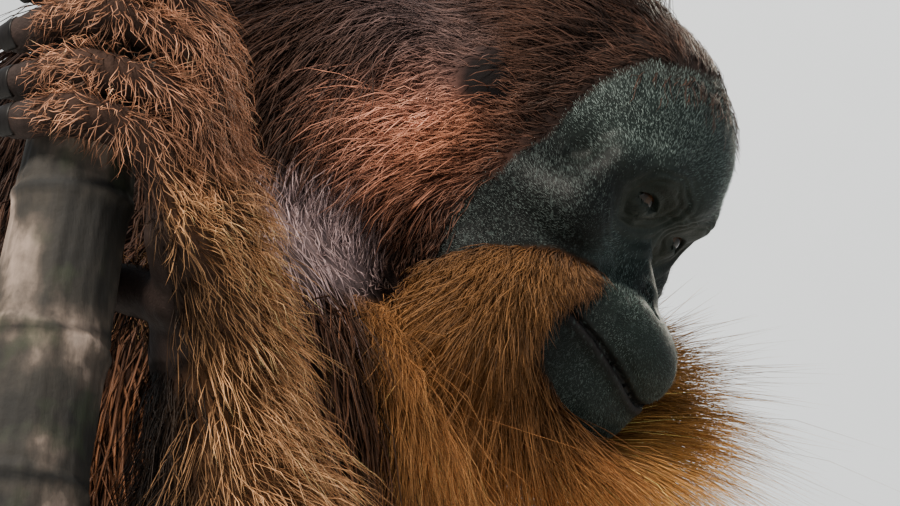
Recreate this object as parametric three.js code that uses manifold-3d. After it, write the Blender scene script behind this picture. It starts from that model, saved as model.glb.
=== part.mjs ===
// A seated orangutan that grips an upright stem with its right hand and hangs its head.
// Millimetres, +Z up. The floor is z = 0, and the animal looks towards +X and down.
// Every solid reaches out to the tips of the coat: a size is a flesh radius plus a coat depth.
import * as THREE from 'three';
import { mergeVertices } from 'three/addons/utils/BufferGeometryUtils.js';
import Module from 'manifold-3d';

const wasm = await Module();
wasm.setup();

const vec = (x, y, z) => new THREE.Vector3(x, y, z);

// Display stand and stem
const GAP = 0.35;
const BASE_SIZE = vec(800, 880, 20);
const BASE_CORNER = 45;
const BASE_BEVEL = 3;
const ROD_RADIUS = 10;
const STEM_GRIP = vec(-119.1, -297, 631.2);
const STEM_LEAN = vec(0.145, 0.17, 1);
const STEM_BOTTOM = 235;
const STEM_TOP = 800;
const STEM_RADII = [[235, 30], [440, 27], [631, 22], [800, 21]];
const STEM_NODES = [262, 322, 385, 448, 510, 572, 640, 705, 768];
const STEM_NODE_RISE = 1.3;
const STEM_NODE_REACH = 14;

// Trunk: x, y and z of each centre, then its radii forwards, sideways and up, then the coat
const FORWARD = vec(0.985, -0.174, 0);
const SIDEWAYS = vec(0.174, 0.985, 0);
const UP = vec(0, 0, 1);
const HUMP = { at: vec(-124, 52, 630), size: [92, 108, 110], coat: 32 };
const GIRDLE = [[vec(-98, -62, 535), 62, 44], [vec(-62, 152, 535), 62, 44]];
const CHEST = { at: vec(-85, 45, 490), size: [118, 158, 150], coat: 42 };
const BELLY = { at: vec(-98, 40, 290), size: [164, 170, 172], coat: 28 };
const RUMP = { at: vec(-185, 40, 145), size: [118, 150, 112], coat: 32 };
const TRUNK_BLEND = 90;
const TRUNK_PATH = [vec(-165, 40, 110), vec(-115, 40, 290), vec(-92, 45, 470), vec(-98, 50, 640)];

// Head: its own axes run forwards, left and up from the bridge of the nose
const NASION = vec(130, 0, 630);
const FACE_FORWARD = vec(0.797, -0.36, -0.485).normalize();
const FACE_LEFT = vec(0.307, 0.933, -0.189).normalize();
const FACE_UP = vec(0.52, 0.002, 0.854).normalize();
const EYE_RADIUS = 11;
const EYE_AT = [-12.5, 24.5, -1];
const EAR_AT = [-92, 81, 7];
const EAR_SIZE = [15, 7, 20];
const EAR_HALF_PATH = 6;

// Ovals of the head: centre and radii
const BRAINCASE = [[-68, 0, 30], [76, 60, 60]];
const FOREHEAD = [[-36, 0, 26], [46, 47, 36]];
const MID_FACE = [[-32, 0, -22], [28, 42, 42]];
const CROWN_COAT = [[-84, 0, 28], [82, 78, 84]];
const NAPE_COAT = [[-98, 0, -14], [54, 74, 66]];
const UPPER_LIP = [[-5, 0, -67], [46, 46, 30]];
const LOWER_LIP = [[-4, 0, -92], [36, 38, 28]];
const MUZZLE_ROOT = [[-34, 0, -60], [36, 48, 34]];

// Bones of the head: start, end and the radius at each; pairs are given for the left side
const NOSE_BRIDGE = [[-15, 0, 10], [-14, 0, -16], 8, 7];
const NOSE_TIP = [[-5, 0, -25], [5, 0, -38], 8, 10];
const TEMPLE_COAT = [[-84, 58, 2], [-96, 56, -48], 22, 30];
const BROW = [[-1, 4, 16], [-4, 29, 15], 10, 8.5];
const BROW_END = [[-4, 29, 15], [-16, 44, 5], 8.5, 7.5];
const ORBIT_RIM = [[-16, 44, 5], [-21, 46, -20], 7.5, 9];
const CHEEKBONE = [[-24, 44, -26], [-58, 52, -26], 17, 18];
const NOSTRIL = [[-6, 10, -34], [3, 9, -39], 8, 7];
const MUZZLE_PATH = [[-34, 0, -66], [8, 0, -70]];
const HEAD_PATH = [[-104, 0, 12], [-44, 0, 8]];

// Beard: places of the cheek hair, chin hair and throat hair, then the radius at each end
const RIGHT_CHEEK_COAT = [
  [vec(44, -40, 592), vec(18, -44, 500), 30, 40],
  [vec(18, -44, 500), vec(22, -40, 430), 40, 26],
];
const LEFT_CHEEK_COAT = [
  [vec(74, 62, 590), vec(106, 56, 505), 34, 44],
  [vec(106, 56, 505), vec(112, 48, 430), 44, 24],
];
const CHIN_COAT = [
  [vec(70, -2, 540), vec(88, -4, 490), 38, 40],
  [vec(88, -4, 490), vec(96, -4, 415), 40, 22],
];
const THROAT_COAT = [vec(20, 10, 560), vec(40, 10, 470), 52, 56];
const BEARD_PATH = [vec(50, 8, 560), vec(62, 8, 440)];

// Neck
const NECK = [[vec(34, 32, 632), 58, 20], [vec(-16, 40, 667), 71, 32], [vec(-70, 48, 652), 78, 34]];

// Limbs: each joint's place, flesh radius and coat depth
const RIGHT_ARM = {
  shoulder: [vec(-85, -98, 512), 56, 42],
  upperMiddle: [vec(-68, -190, 372), 46, 36],
  elbow: [vec(-50, -295, 225), 38, 26],
  foreMiddle: [vec(-56, -294, 330), 39, 24],
  foreUpper: [vec(-66, -290, 430), 31, 20],
  wrist: [vec(-73, -285, 512), 22, 15],
};
const LEFT_ARM = {
  shoulder: [vec(-37, 178, 512), 56, 42],
  upperMiddle: [vec(-88, 262, 380), 46, 36],
  elbow: [vec(-135, 345, 245), 38, 26],
  foreMiddle: [vec(-45, 306, 298), 39, 24],
  foreUpper: [vec(50, 268, 356), 31, 20],
  wrist: [vec(130, 235, 405), 22, 14],
};
const RIGHT_LEG = {
  hip: [vec(-165, -45, 130), 82, 30],
  thighMiddle: [vec(-60, -108, 166), 68, 26],
  knee: [vec(42, -160, 198), 50, 22],
  shankMiddle: [vec(92, -108, 125), 42, 20],
  ankle: [vec(135, -48, 58), 27, 12],
};
const LEFT_LEG = {
  hip: [vec(-140, 122, 130), 82, 30],
  thighMiddle: [vec(-40, 178, 186), 68, 26],
  knee: [vec(60, 218, 240), 50, 22],
  shankMiddle: [vec(112, 186, 150), 42, 20],
  ankle: [vec(155, 152, 62), 27, 12],
};
const RIGHT_FOOT = { heel: vec(112, -52, 46), along: vec(0.98, 0.17, 0), inward: vec(-0.17, 0.98, 0) };
const LEFT_FOOT = { heel: vec(132, 158, 46), along: vec(0.975, -0.22, 0), inward: vec(-0.22, -0.975, 0) };
const FOOT_LENGTH = 128;
const FOOT_RADIUS = 21;
const FOOT_HALF_HEIGHT = 15;
const TOE_ROOT = 6;
const TOE_RADIUS = 7.7;
const TOE_SPACING = 16;
const TOE_NAMES = ['little', 'fourth', 'third', 'second'];
const HEEL_LENGTH = 40;
const SOLE_LIFT = 4;
const BALL_TAPER = 3;

// Toes: each joint's step along the foot and inwards from the one before, and the radius lost there
const TOE_STEPS = [[35, 4], [22, 16], [3, 20]];
const TOE_TAPER = [0, 0, 0.4, 1.2];
const GREAT_TOE_START = [42, 6, 22];
const GREAT_TOE_STEPS = [[18, 16, 8], [18, 14, 1]];
const GREAT_TOE_RADII = [12, 10.5, 8.5];

// Right hand: each finger as height, angle round the stem and distance from the stem's axis
const GRIP = {
  index: [[552, -21, 49], [588, -43, 41], [601, -93, 32.5], [602, -147, 31.5]],
  middle: [[564, -6, 54], [605, -33, 46], [620, -90, 32.5], [620, -159, 32.5]],
  ring: [[577, 4, 56], [626, -29, 45], [645, -93, 32.5], [642, -165, 34]],
  little: [[587, 14, 58], [642, -22, 43], [664, -86, 31.5], [662, -154, 31.5]],
  thumb: [[528, 6, 50], [538, 42, 40], [545, 84, 33], [548, 118, 32.5]],
};
const GRIP_FINGER_RADII = [9.4, 9, 8.6, 7.4];
const GRIP_THUMB_RADII = [11, 10, 9.4, 8];

// Left hand: it hangs over the left knee
const LEFT_KNUCKLE = vec(186, 220, 352);
const LEFT_HAND_ALONG = vec(0.72, -0.2, -0.67).normalize();
const LEFT_HAND_ACROSS = vec(0.1, 0.98, -0.17).normalize();
const LEFT_FINGERS = { index: -1.5, middle: -0.5, ring: 0.5, little: 1.5 };
const KNUCKLE_SPACING = 17.4;
const LEFT_FINGER_LENGTH = { index: 104, middle: 116, ring: 113, little: 98 };
const LEFT_FINGER_RADII = [8.5, 8.5, 8.2, 7.2];
const FINGER_BONE_SHARES = [0.375, 0.35, 0.275];
const MIDDLE_BONE_WAY = vec(0.35, -0.1, -0.93);
const TIP_BONE_WAY = vec(-0.5, 0.05, -0.86);
const LEFT_THUMB = [vec(148, 212, 378), vec(160, 196, 350), vec(166, 190, 326), vec(164, 190, 306)];
const LEFT_THUMB_RADII = [12, 10.5, 9.5, 8];

// Colours of coat, skin and stand
const MATERIALS = {
  redCoat: new THREE.MeshStandardMaterial({ color: 0x7a3d20, roughness: 0.85, metalness: 0 }),
  goldCoat: new THREE.MeshStandardMaterial({ color: 0xb9793c, roughness: 0.85, metalness: 0 }),
  darkSkin: new THREE.MeshStandardMaterial({ color: 0x2c3234, roughness: 0.55, metalness: 0 }),
  eye: new THREE.MeshStandardMaterial({ color: 0x2a1a10, roughness: 0.12, metalness: 0 }),
  bark: new THREE.MeshStandardMaterial({ color: 0x5d6452, roughness: 0.9, metalness: 0 }),
  base: new THREE.MeshStandardMaterial({ color: 0x3a3936, roughness: 0.6, metalness: 0 }),
  rod: new THREE.MeshStandardMaterial({ color: 0x6f7072, roughness: 0.35, metalness: 0.9 }),
};

// Signed distances: each of these takes a point and gives how far outside the form it lies
const blendTwo = (a, b, reach) => {
  if (reach === 0) return Math.min(a, b);
  const overlap = Math.max(reach - Math.abs(a - b), 0) / reach;
  return Math.min(a, b) - overlap * overlap * reach / 4;
};
const blend = (reach, forms) => point => forms.map(form => form(point))
  .reduce((a, b) => blendTwo(a, b, reach));

function bone(start, end, startRadius, endRadius) {
  const axis = end.clone().sub(start);
  const lengthSquared = axis.lengthSq();
  return point => {
    const along = THREE.MathUtils.clamp(point.clone().sub(start).dot(axis) / lengthSquared, 0, 1);
    const nearest = start.clone().addScaledVector(axis, along);
    return point.distanceTo(nearest) - THREE.MathUtils.lerp(startRadius, endRadius, along);
  };
}

function oval(centre, axes, radii) {
  return point => {
    const offset = point.clone().sub(centre);
    const scaled = vec(...axes.map((axis, i) => offset.dot(axis) / radii[i]));
    const steep = vec(...axes.map((axis, i) => offset.dot(axis) / radii[i] ** 2));
    const size = scaled.length();
    return size < 1e-6 ? -Math.min(...radii) : size * (size - 1) / steep.length();
  };
}

function limb(joints, reach) {
  const bones = [];
  for (let i = 1; i < joints.length; i += 1) {
    const [start, startFlesh, startCoat] = joints[i - 1];
    const [end, endFlesh, endCoat] = joints[i];
    bones.push(bone(start, end, startFlesh + startCoat, endFlesh + endCoat));
  }
  return blend(reach, bones);
}

// A closed shell: rays leave a path in rings and stop on the form
const RAY_STEP = 4;
const RAY_LIMIT = 600;
const RAY_HALVINGS = 22;

function surfacePoint(form, start, direction) {
  let near = 0;
  let far = RAY_STEP;
  while (form(start.clone().addScaledVector(direction, far)) < 0) {
    near = far;
    far += RAY_STEP;
    if (far > RAY_LIMIT) throw new Error('a ray never leaves its form');
  }
  for (let i = 0; i < RAY_HALVINGS; i += 1) {
    const middle = (near + far) / 2;
    if (form(start.clone().addScaledVector(direction, middle)) < 0) near = middle;
    else far = middle;
  }
  return start.clone().addScaledVector(direction, far);
}

function shell(form, path, sectors, rings, capRings = 3) {
  const curve = path.length > 2 ? new THREE.CatmullRomCurve3(path) : new THREE.LineCurve3(...path);
  const frames = curve.computeFrenetFrames(rings, false);
  const rows = [];
  const addRow = (index, tilt) => {
    const centre = curve.getPointAt(index / rings);
    const row = [];
    for (let i = 0; i < sectors; i += 1) {
      const turn = 2 * Math.PI * i / sectors;
      const direction = frames.normals[index].clone().multiplyScalar(Math.cos(turn))
        .addScaledVector(frames.binormals[index], Math.sin(turn))
        .multiplyScalar(Math.cos(tilt))
        .addScaledVector(frames.tangents[index], Math.sin(tilt));
      row.push(surfacePoint(form, centre, direction));
    }
    rows.push(row);
  };
  const capTilt = step => Math.PI / 2 * step / capRings;
  for (let step = capRings - 1; step > 0; step -= 1) addRow(0, -capTilt(step));
  for (let index = 0; index <= rings; index += 1) addRow(index, 0);
  for (let step = 1; step < capRings; step += 1) addRow(rings, capTilt(step));
  const firstTip = surfacePoint(form, curve.getPointAt(0), frames.tangents[0].clone().negate());
  const lastTip = surfacePoint(form, curve.getPointAt(1), frames.tangents[rings]);
  return solidFromRows(rows, firstTip, lastTip);
}

function solidFromRows(rows, firstTip, lastTip) {
  const sectors = rows[0].length;
  const points = [firstTip, ...rows.flat(), lastTip];
  const at = (row, sector) => 1 + row * sectors + sector % sectors;
  const triangles = [];
  for (let i = 0; i < sectors; i += 1) {
    triangles.push(0, at(0, i + 1), at(0, i));
    for (let row = 1; row < rows.length; row += 1) {
      triangles.push(at(row - 1, i), at(row - 1, i + 1), at(row, i + 1));
      triangles.push(at(row - 1, i), at(row, i + 1), at(row, i));
    }
    triangles.push(points.length - 1, at(rows.length - 1, i), at(rows.length - 1, i + 1));
  }
  return solid(points.flatMap(point => point.toArray()), triangles);
}

function solid(positions, triangles) {
  return new wasm.Manifold(new wasm.Mesh({
    numProp: 3,
    vertProperties: new Float32Array(positions),
    triVerts: new Uint32Array(triangles),
  }));
}

function solidFromGeometry(geometry, matrix) {
  const bare = geometry.clone();
  bare.deleteAttribute('normal');
  bare.deleteAttribute('uv');
  bare.applyMatrix4(matrix);
  const merged = mergeVertices(bare);
  return solid(merged.attributes.position.array, merged.index.array);
}

// Display stand
function baseSolid() {
  const halfX = BASE_SIZE.x / 2 - BASE_BEVEL;
  const halfY = BASE_SIZE.y / 2 - BASE_BEVEL;
  const outline = new THREE.Shape();
  outline.absarc(halfX - BASE_CORNER, halfY - BASE_CORNER, BASE_CORNER, 0, Math.PI / 2);
  outline.absarc(-halfX + BASE_CORNER, halfY - BASE_CORNER, BASE_CORNER, Math.PI / 2, Math.PI);
  outline.absarc(-halfX + BASE_CORNER, -halfY + BASE_CORNER, BASE_CORNER, Math.PI, Math.PI * 1.5);
  outline.absarc(halfX - BASE_CORNER, -halfY + BASE_CORNER, BASE_CORNER, Math.PI * 1.5, Math.PI * 2);
  const plate = new THREE.ExtrudeGeometry(outline, {
    depth: BASE_SIZE.z - 2 * BASE_BEVEL,
    bevelThickness: BASE_BEVEL,
    bevelSize: BASE_BEVEL,
    bevelSegments: 1,
    curveSegments: 2,
  });
  return solidFromGeometry(plate, new THREE.Matrix4().makeTranslation(0, 0, BASE_BEVEL));
}

const stemPoint = height => STEM_GRIP.clone().addScaledVector(STEM_LEAN, height - STEM_GRIP.z);
const stemDirection = STEM_LEAN.clone().normalize();
const stemStand = new THREE.Quaternion().setFromUnitVectors(vec(0, 1, 0), stemDirection);

function stemRadius(height) {
  const upper = STEM_RADII.findIndex(([level]) => level >= height);
  const [low, lowRadius] = STEM_RADII[Math.max(upper - 1, 0)];
  const [high, highRadius] = STEM_RADII[Math.max(upper, 1)];
  return THREE.MathUtils.mapLinear(height, low, high, lowRadius, highRadius);
}

function stemSolid() {
  const lengthAt = height => (height - STEM_BOTTOM) * STEM_LEAN.length();
  const profile = [new THREE.Vector2(0, 0)];
  const addLevel = (height, rise) => {
    profile.push(new THREE.Vector2(stemRadius(height) + rise, lengthAt(height)));
  };
  addLevel(STEM_BOTTOM, 0);
  for (const node of STEM_NODES) {
    addLevel(node - STEM_NODE_REACH, 0);
    addLevel(node, STEM_NODE_RISE);
  }
  addLevel(STEM_TOP, 0);
  profile.push(new THREE.Vector2(0, lengthAt(STEM_TOP)));
  const stem = new THREE.LatheGeometry(profile, 8);
  const place = new THREE.Matrix4().compose(stemPoint(STEM_BOTTOM), stemStand, vec(1, 1, 1));
  return solidFromGeometry(stem, place);
}

function rodSolid() {
  const low = stemPoint(0);
  const high = stemPoint(STEM_BOTTOM);
  const rod = new THREE.CylinderGeometry(ROD_RADIUS, ROD_RADIUS, low.distanceTo(high), 12);
  return solidFromGeometry(rod, new THREE.Matrix4().compose(low.lerp(high, 0.5), stemStand, vec(1, 1, 1)));
}

// Head
const FACE_AXES = [FACE_FORWARD, FACE_LEFT, FACE_UP];
const face = (forwards, left, up) => NASION.clone().addScaledVector(FACE_FORWARD, forwards)
  .addScaledVector(FACE_LEFT, left).addScaledVector(FACE_UP, up);
const faceOval = (centre, radii) => oval(face(...centre), FACE_AXES, radii);
const faceBone = (start, end, ...radii) => bone(face(...start), face(...end), ...radii);
const bothSides = make => [make(-1), make(1)];

const mirrored = ([start, end, ...radii], side) => {
  const [[startX, startY, startZ], [endX, endY, endZ]] = [start, end];
  return faceBone([startX, side * startY, startZ], [endX, side * endY, endZ], ...radii);
};
const pair = plan => bothSides(side => mirrored(plan, side));

const faceForm = blend(18, [
  faceOval(...BRAINCASE),
  faceOval(...FOREHEAD),
  faceOval(...MID_FACE),
  faceBone(...NOSE_BRIDGE),
]);
const headForm = blend(14, [
  faceForm,
  ...pair(BROW),
  ...pair(BROW_END),
  ...pair(ORBIT_RIM),
  ...pair(CHEEKBONE),
  blend(30, [faceOval(...CROWN_COAT), faceOval(...NAPE_COAT)]),
  ...pair(TEMPLE_COAT),
]);
const muzzleForm = blend(14, [
  faceOval(...UPPER_LIP),
  faceOval(...LOWER_LIP),
  faceBone(...NOSE_TIP),
  ...pair(NOSTRIL),
  faceOval(...MUZZLE_ROOT),
]);
const hairOf = bones => blend(30, bones.map(plan => bone(...plan)));
const beardForm = blend(34, [
  hairOf(RIGHT_CHEEK_COAT),
  hairOf(LEFT_CHEEK_COAT),
  hairOf(CHIN_COAT),
  bone(...THROAT_COAT),
]);

function eyeSolid(side) {
  const ball = new THREE.SphereGeometry(EYE_RADIUS, 9, 6);
  const [forwards, left, up] = EYE_AT;
  const place = face(forwards, side * left, up);
  return solidFromGeometry(ball, new THREE.Matrix4().makeTranslation(...place.toArray()));
}

function earSolid(side) {
  const [forwards, left, up] = EAR_AT;
  const disc = faceOval([forwards, side * left, up], EAR_SIZE);
  const end = rise => face(forwards, side * left, up + rise);
  return shell(disc, [end(-EAR_HALF_PATH), end(EAR_HALF_PATH)], 8, 2, 2);
}

// Trunk
const BODY_AXES = [FORWARD, SIDEWAYS, UP];
const bodyOval = ({ at, size, coat }) => oval(at, BODY_AXES, size.map(radius => radius + coat));
const trunkForm = blend(TRUNK_BLEND, [...[HUMP, CHEST, BELLY, RUMP].map(bodyOval), limb(GIRDLE, 0)]);

// Hands
const gripPoint = ([height, angle, distance]) => {
  const turn = THREE.MathUtils.degToRad(angle);
  return stemPoint(height).add(vec(Math.cos(turn), Math.sin(turn), 0).multiplyScalar(distance));
};

function digit(points, radii, rings = 4) {
  const curve = new THREE.CatmullRomCurve3(points);
  const steps = 8;
  const joints = [];
  for (let i = 0; i <= steps; i += 1) {
    const along = i / steps * (radii.length - 1);
    const segment = Math.min(Math.floor(along), radii.length - 2);
    const radius = THREE.MathUtils.lerp(radii[segment], radii[segment + 1], along - segment);
    joints.push([curve.getPointAt(i / steps), radius, 0]);
  }
  return shell(limb(joints, 4), points, 6, rings, 2);
}

const PALM_RADII = [19, 15];
const palmForm = (wrist, knuckles) => {
  const bones = knuckles.map(knuckle => bone(wrist, knuckle, ...PALM_RADII));
  return blend(12, bones);
};
const sumOf = points => points.reduce((sum, point) => sum.add(point), vec(0, 0, 0));
const middleOf = points => sumOf(points).divideScalar(points.length);

function palm(wrist, knuckles) {
  return shell(palmForm(wrist, knuckles), [wrist, middleOf(knuckles)], 8, 3, 2);
}

const gripNames = ['index', 'middle', 'ring', 'little'];
const rightKnuckles = gripNames.map(name => gripPoint(GRIP[name][0]));
const leftKnuckle = offset => LEFT_KNUCKLE.clone()
  .addScaledVector(LEFT_HAND_ACROSS, offset * KNUCKLE_SPACING);
const leftKnuckles = gripNames.map(name => leftKnuckle(LEFT_FINGERS[name]));

// A relaxed finger leaves the knuckle, turns down and curls back towards the palm
function relaxedFinger(knuckle, length) {
  const ways = [LEFT_HAND_ALONG, MIDDLE_BONE_WAY, TIP_BONE_WAY];
  const joints = [knuckle];
  ways.forEach((way, i) => {
    joints.push(joints[i].clone().addScaledVector(way, length * FINGER_BONE_SHARES[i]));
  });
  return joints;
}

// Feet: turned on their outer edges, soles towards each other
function footForm({ heel, along }) {
  const ball = heel.clone().addScaledVector(along, FOOT_LENGTH);
  const rise = vec(0, 0, FOOT_HALF_HEIGHT);
  return blend(16, [
    bone(heel, heel.clone().addScaledVector(along, HEEL_LENGTH), FOOT_RADIUS + BALL_TAPER, FOOT_RADIUS),
    bone(heel, ball.clone().add(rise), FOOT_RADIUS, FOOT_RADIUS - BALL_TAPER),
    bone(heel, ball.clone().sub(rise).addScaledVector(UP, SOLE_LIFT), FOOT_RADIUS, FOOT_RADIUS - BALL_TAPER),
  ]);
}

function foot(plan) {
  const ball = plan.heel.clone().addScaledVector(plan.along, FOOT_LENGTH);
  return shell(footForm(plan), [plan.heel, ball], 9, 3, 2);
}

function toe({ heel, along, inward }, row) {
  const joints = [heel.clone().addScaledVector(along, FOOT_LENGTH + TOE_ROOT)];
  joints[0].z += (row - (TOE_NAMES.length - 1) / 2) * TOE_SPACING + SOLE_LIFT;
  TOE_STEPS.forEach(([onwards, sideways], i) => {
    joints.push(joints[i].clone().addScaledVector(along, onwards).addScaledVector(inward, sideways));
  });
  return digit(joints, TOE_TAPER.map(loss => TOE_RADIUS - loss), 3);
}

function greatToe({ heel, along, inward }) {
  const stepFrom = (place, [onwards, sideways, rise]) => place.clone().addScaledVector(along, onwards)
    .addScaledVector(inward, sideways).addScaledVector(UP, rise);
  const joints = [stepFrom(heel, GREAT_TOE_START)];
  GREAT_TOE_STEPS.forEach((step, i) => joints.push(stepFrom(joints[i], step)));
  return digit(joints, GREAT_TOE_RADII);
}

// Limb shells
function limbShell(joints, sectors, rings, reach = 24) {
  return shell(limb(joints, reach), joints.map(([place]) => place), sectors, rings, 2);
}

// Parts in order: each one is cut back where an earlier one already stands
const parts = [];
const add = (name, material, whole) => parts.push({ name, material: MATERIALS[material], whole });

add('stand_base', 'base', baseSolid());
add('stem', 'bark', stemSolid());
add('stand_rod', 'rod', rodSolid());

for (const [label, side] of [['right', -1], ['left', 1]]) {
  add(`eye_${label}`, 'eye', eyeSolid(side));
  add(`ear_${label}`, 'darkSkin', earSolid(side));
}
add('muzzle', 'darkSkin', shell(muzzleForm, MUZZLE_PATH.map(place => face(...place)), 16, 3, 4));
add('head', 'redCoat', shell(headForm, HEAD_PATH.map(place => face(...place)), 18, 4, 4));
add('beard', 'goldCoat', shell(beardForm, BEARD_PATH, 13, 4, 3));
add('neck', 'redCoat', limbShell(NECK, 11, 2, 40));
add('trunk', 'redCoat', shell(trunkForm, TRUNK_PATH, 16, 6, 3));

add('hand_right', 'redCoat', palm(RIGHT_ARM.wrist[0], rightKnuckles));
for (const name of gripNames) {
  add(`finger_right_${name}`, 'darkSkin', digit(GRIP[name].map(gripPoint), GRIP_FINGER_RADII));
}
add('finger_right_thumb', 'darkSkin', digit(GRIP.thumb.map(gripPoint), GRIP_THUMB_RADII));

add('hand_left', 'redCoat', palm(LEFT_ARM.wrist[0], leftKnuckles));
for (const name of gripNames) {
  const joints = relaxedFinger(leftKnuckle(LEFT_FINGERS[name]), LEFT_FINGER_LENGTH[name]);
  add(`finger_left_${name}`, 'darkSkin', digit(joints, LEFT_FINGER_RADII));
}
add('finger_left_thumb', 'darkSkin', digit(LEFT_THUMB, LEFT_THUMB_RADII));

for (const [label, arm] of [['right', RIGHT_ARM], ['left', LEFT_ARM]]) {
  const forearm = [arm.elbow, arm.foreMiddle, arm.foreUpper, arm.wrist];
  add(`forearm_${label}`, 'redCoat', limbShell(forearm, 10, 5));
  add(`upper_arm_${label}`, 'redCoat', limbShell([arm.shoulder, arm.upperMiddle, arm.elbow], 10, 4));
}

for (const [label, leg, footPlan] of [['right', RIGHT_LEG, RIGHT_FOOT], ['left', LEFT_LEG, LEFT_FOOT]]) {
  add(`foot_${label}`, 'redCoat', foot(footPlan));
  TOE_NAMES.forEach((name, row) => add(`toe_${label}_${name}`, 'darkSkin', toe(footPlan, row)));
  add(`toe_${label}_great`, 'darkSkin', greatToe(footPlan));
  add(`thigh_${label}`, 'redCoat', limbShell([leg.hip, leg.thighMiddle, leg.knee], 11, 3));
  add(`shank_${label}`, 'redCoat', limbShell([leg.knee, leg.shankMiddle, leg.ankle], 10, 3));
}

// Parting the whole into its pieces
function boxesMeet(a, b) {
  const boxA = a.boundingBox();
  const boxB = b.boundingBox();
  return [0, 1, 2].every(axis => boxA.min[axis] < boxB.max[axis] && boxB.min[axis] < boxA.max[axis]);
}

function largestPiece(whole) {
  return whole.decompose().reduce((largest, piece) => (piece.volume() > largest.volume() ? piece : largest));
}

function geometryOf(piece) {
  const { vertProperties, triVerts } = piece.getMesh();
  const geometry = new THREE.BufferGeometry();
  geometry.setAttribute('position', new THREE.BufferAttribute(vertProperties, 3));
  geometry.setIndex(new THREE.BufferAttribute(triVerts, 1));
  return geometry;
}

// The same solid with every corner moved outwards, to leave a gap round it
function grown(whole) {
  const geometry = geometryOf(whole);
  geometry.computeVertexNormals();
  const { position, normal } = geometry.attributes;
  const positions = position.array.map((value, i) => value + GAP * normal.array[i]);
  return solid(positions, geometry.index.array);
}

const group = new THREE.Group();
const standing = [];
for (const { name, material, whole } of parts) {
  let piece = whole;
  for (const earlier of standing) {
    if (boxesMeet(piece, earlier)) piece = piece.subtract(earlier);
  }
  const mesh = new THREE.Mesh(geometryOf(largestPiece(piece)), material);
  mesh.geometry.computeVertexNormals();
  mesh.name = name;
  group.add(mesh);
  standing.push(grown(whole));
}

export default group;
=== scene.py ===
# Visual model of a seated orangutan that grips an upright stem and hangs its head.
# Lengths in the tables are millimetres, as in the solids; meshes are built in metres.
import math
import bmesh
import bpy
import numpy as np
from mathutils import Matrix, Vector
from mathutils.kdtree import KDTree


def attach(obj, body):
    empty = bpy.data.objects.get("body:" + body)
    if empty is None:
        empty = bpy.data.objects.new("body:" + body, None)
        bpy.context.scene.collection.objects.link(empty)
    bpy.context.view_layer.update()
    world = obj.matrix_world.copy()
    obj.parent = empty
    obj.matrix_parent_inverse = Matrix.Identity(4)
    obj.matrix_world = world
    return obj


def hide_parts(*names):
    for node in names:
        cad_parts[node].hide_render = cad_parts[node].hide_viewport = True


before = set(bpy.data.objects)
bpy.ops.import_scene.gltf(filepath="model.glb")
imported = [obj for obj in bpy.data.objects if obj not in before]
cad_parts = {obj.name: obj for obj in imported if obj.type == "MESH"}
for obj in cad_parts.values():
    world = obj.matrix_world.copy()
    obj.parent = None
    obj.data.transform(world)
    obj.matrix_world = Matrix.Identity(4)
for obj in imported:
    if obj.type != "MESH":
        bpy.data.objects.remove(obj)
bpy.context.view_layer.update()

MM = 0.001
RNG = np.random.default_rng(20)
UP = np.array([0.0, 0.0, 1.0])


def vec(*values):
    return np.array(values, dtype=float)


def unit(vector):
    return vector / np.linalg.norm(vector, axis=-1, keepdims=True)


# Body plan, repeated from the solids: places and flesh radii
BASE_TOP = 20.0
STEM_GRIP = vec(-119.1, -297, 631.2)
STEM_LEAN = vec(0.145, 0.17, 1)
STEM_BOTTOM, STEM_TOP = 235.0, 800.0
STEM_RADII = ((235, 440, 631, 800), (30, 27, 22, 21))
STEM_NODES = (262, 322, 385, 448, 510, 572, 640, 705, 768)

BODY_AXES = (vec(0.985, -0.174, 0), vec(0.174, 0.985, 0), UP)
HUMP = (vec(-124, 52, 630), (92, 108, 110))
CHEST = (vec(-85, 45, 490), (118, 158, 150))
BELLY = (vec(-98, 40, 290), (164, 170, 172))
RUMP = (vec(-185, 40, 145), (118, 150, 112))
GIRDLE = ((vec(-98, -62, 535), 62), (vec(-62, 152, 535), 62))
TRUNK_BLEND = 90.0
NECK = ((vec(34, 32, 632), 58), (vec(-16, 40, 667), 71), (vec(-70, 48, 652), 78))

NASION = vec(130, 0, 630)
FACE_FORWARD = unit(vec(0.797, -0.36, -0.485))
FACE_LEFT = unit(vec(0.307, 0.933, -0.189))
FACE_UP = unit(vec(0.52, 0.002, 0.854))
FACE_AXES = np.array([FACE_FORWARD, FACE_LEFT, FACE_UP])
EYE_RADIUS = 11.0
EYE_AT = (-12.5, 24.5, -1)

ARMS = {
    "right": ((vec(-85, -98, 512), 56), (vec(-68, -190, 372), 46), (vec(-50, -295, 225), 38),
              (vec(-56, -294, 330), 39), (vec(-66, -290, 430), 31), (vec(-73, -285, 512), 22)),
    "left": ((vec(-37, 178, 512), 56), (vec(-88, 262, 380), 46), (vec(-135, 345, 245), 38),
             (vec(-45, 306, 298), 39), (vec(50, 268, 356), 31), (vec(130, 235, 405), 22)),
}
LEGS = {
    "right": ((vec(-165, -45, 130), 82), (vec(-60, -108, 166), 68), (vec(42, -160, 198), 50),
              (vec(92, -108, 125), 42), (vec(135, -48, 58), 27)),
    "left": ((vec(-140, 122, 130), 82), (vec(-40, 178, 186), 68), (vec(60, 218, 240), 50),
             (vec(112, 186, 150), 42), (vec(155, 152, 62), 27)),
}
FEET = {
    "right": (vec(112, -52, 46), unit(vec(0.98, 0.17, 0)), unit(vec(-0.17, 0.98, 0))),
    "left": (vec(132, 158, 46), unit(vec(0.975, -0.22, 0)), unit(vec(-0.22, -0.975, 0))),
}
FOOT_LENGTH, FOOT_RADIUS, FOOT_HALF_HEIGHT = 128.0, 19.0, 15.0
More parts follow.
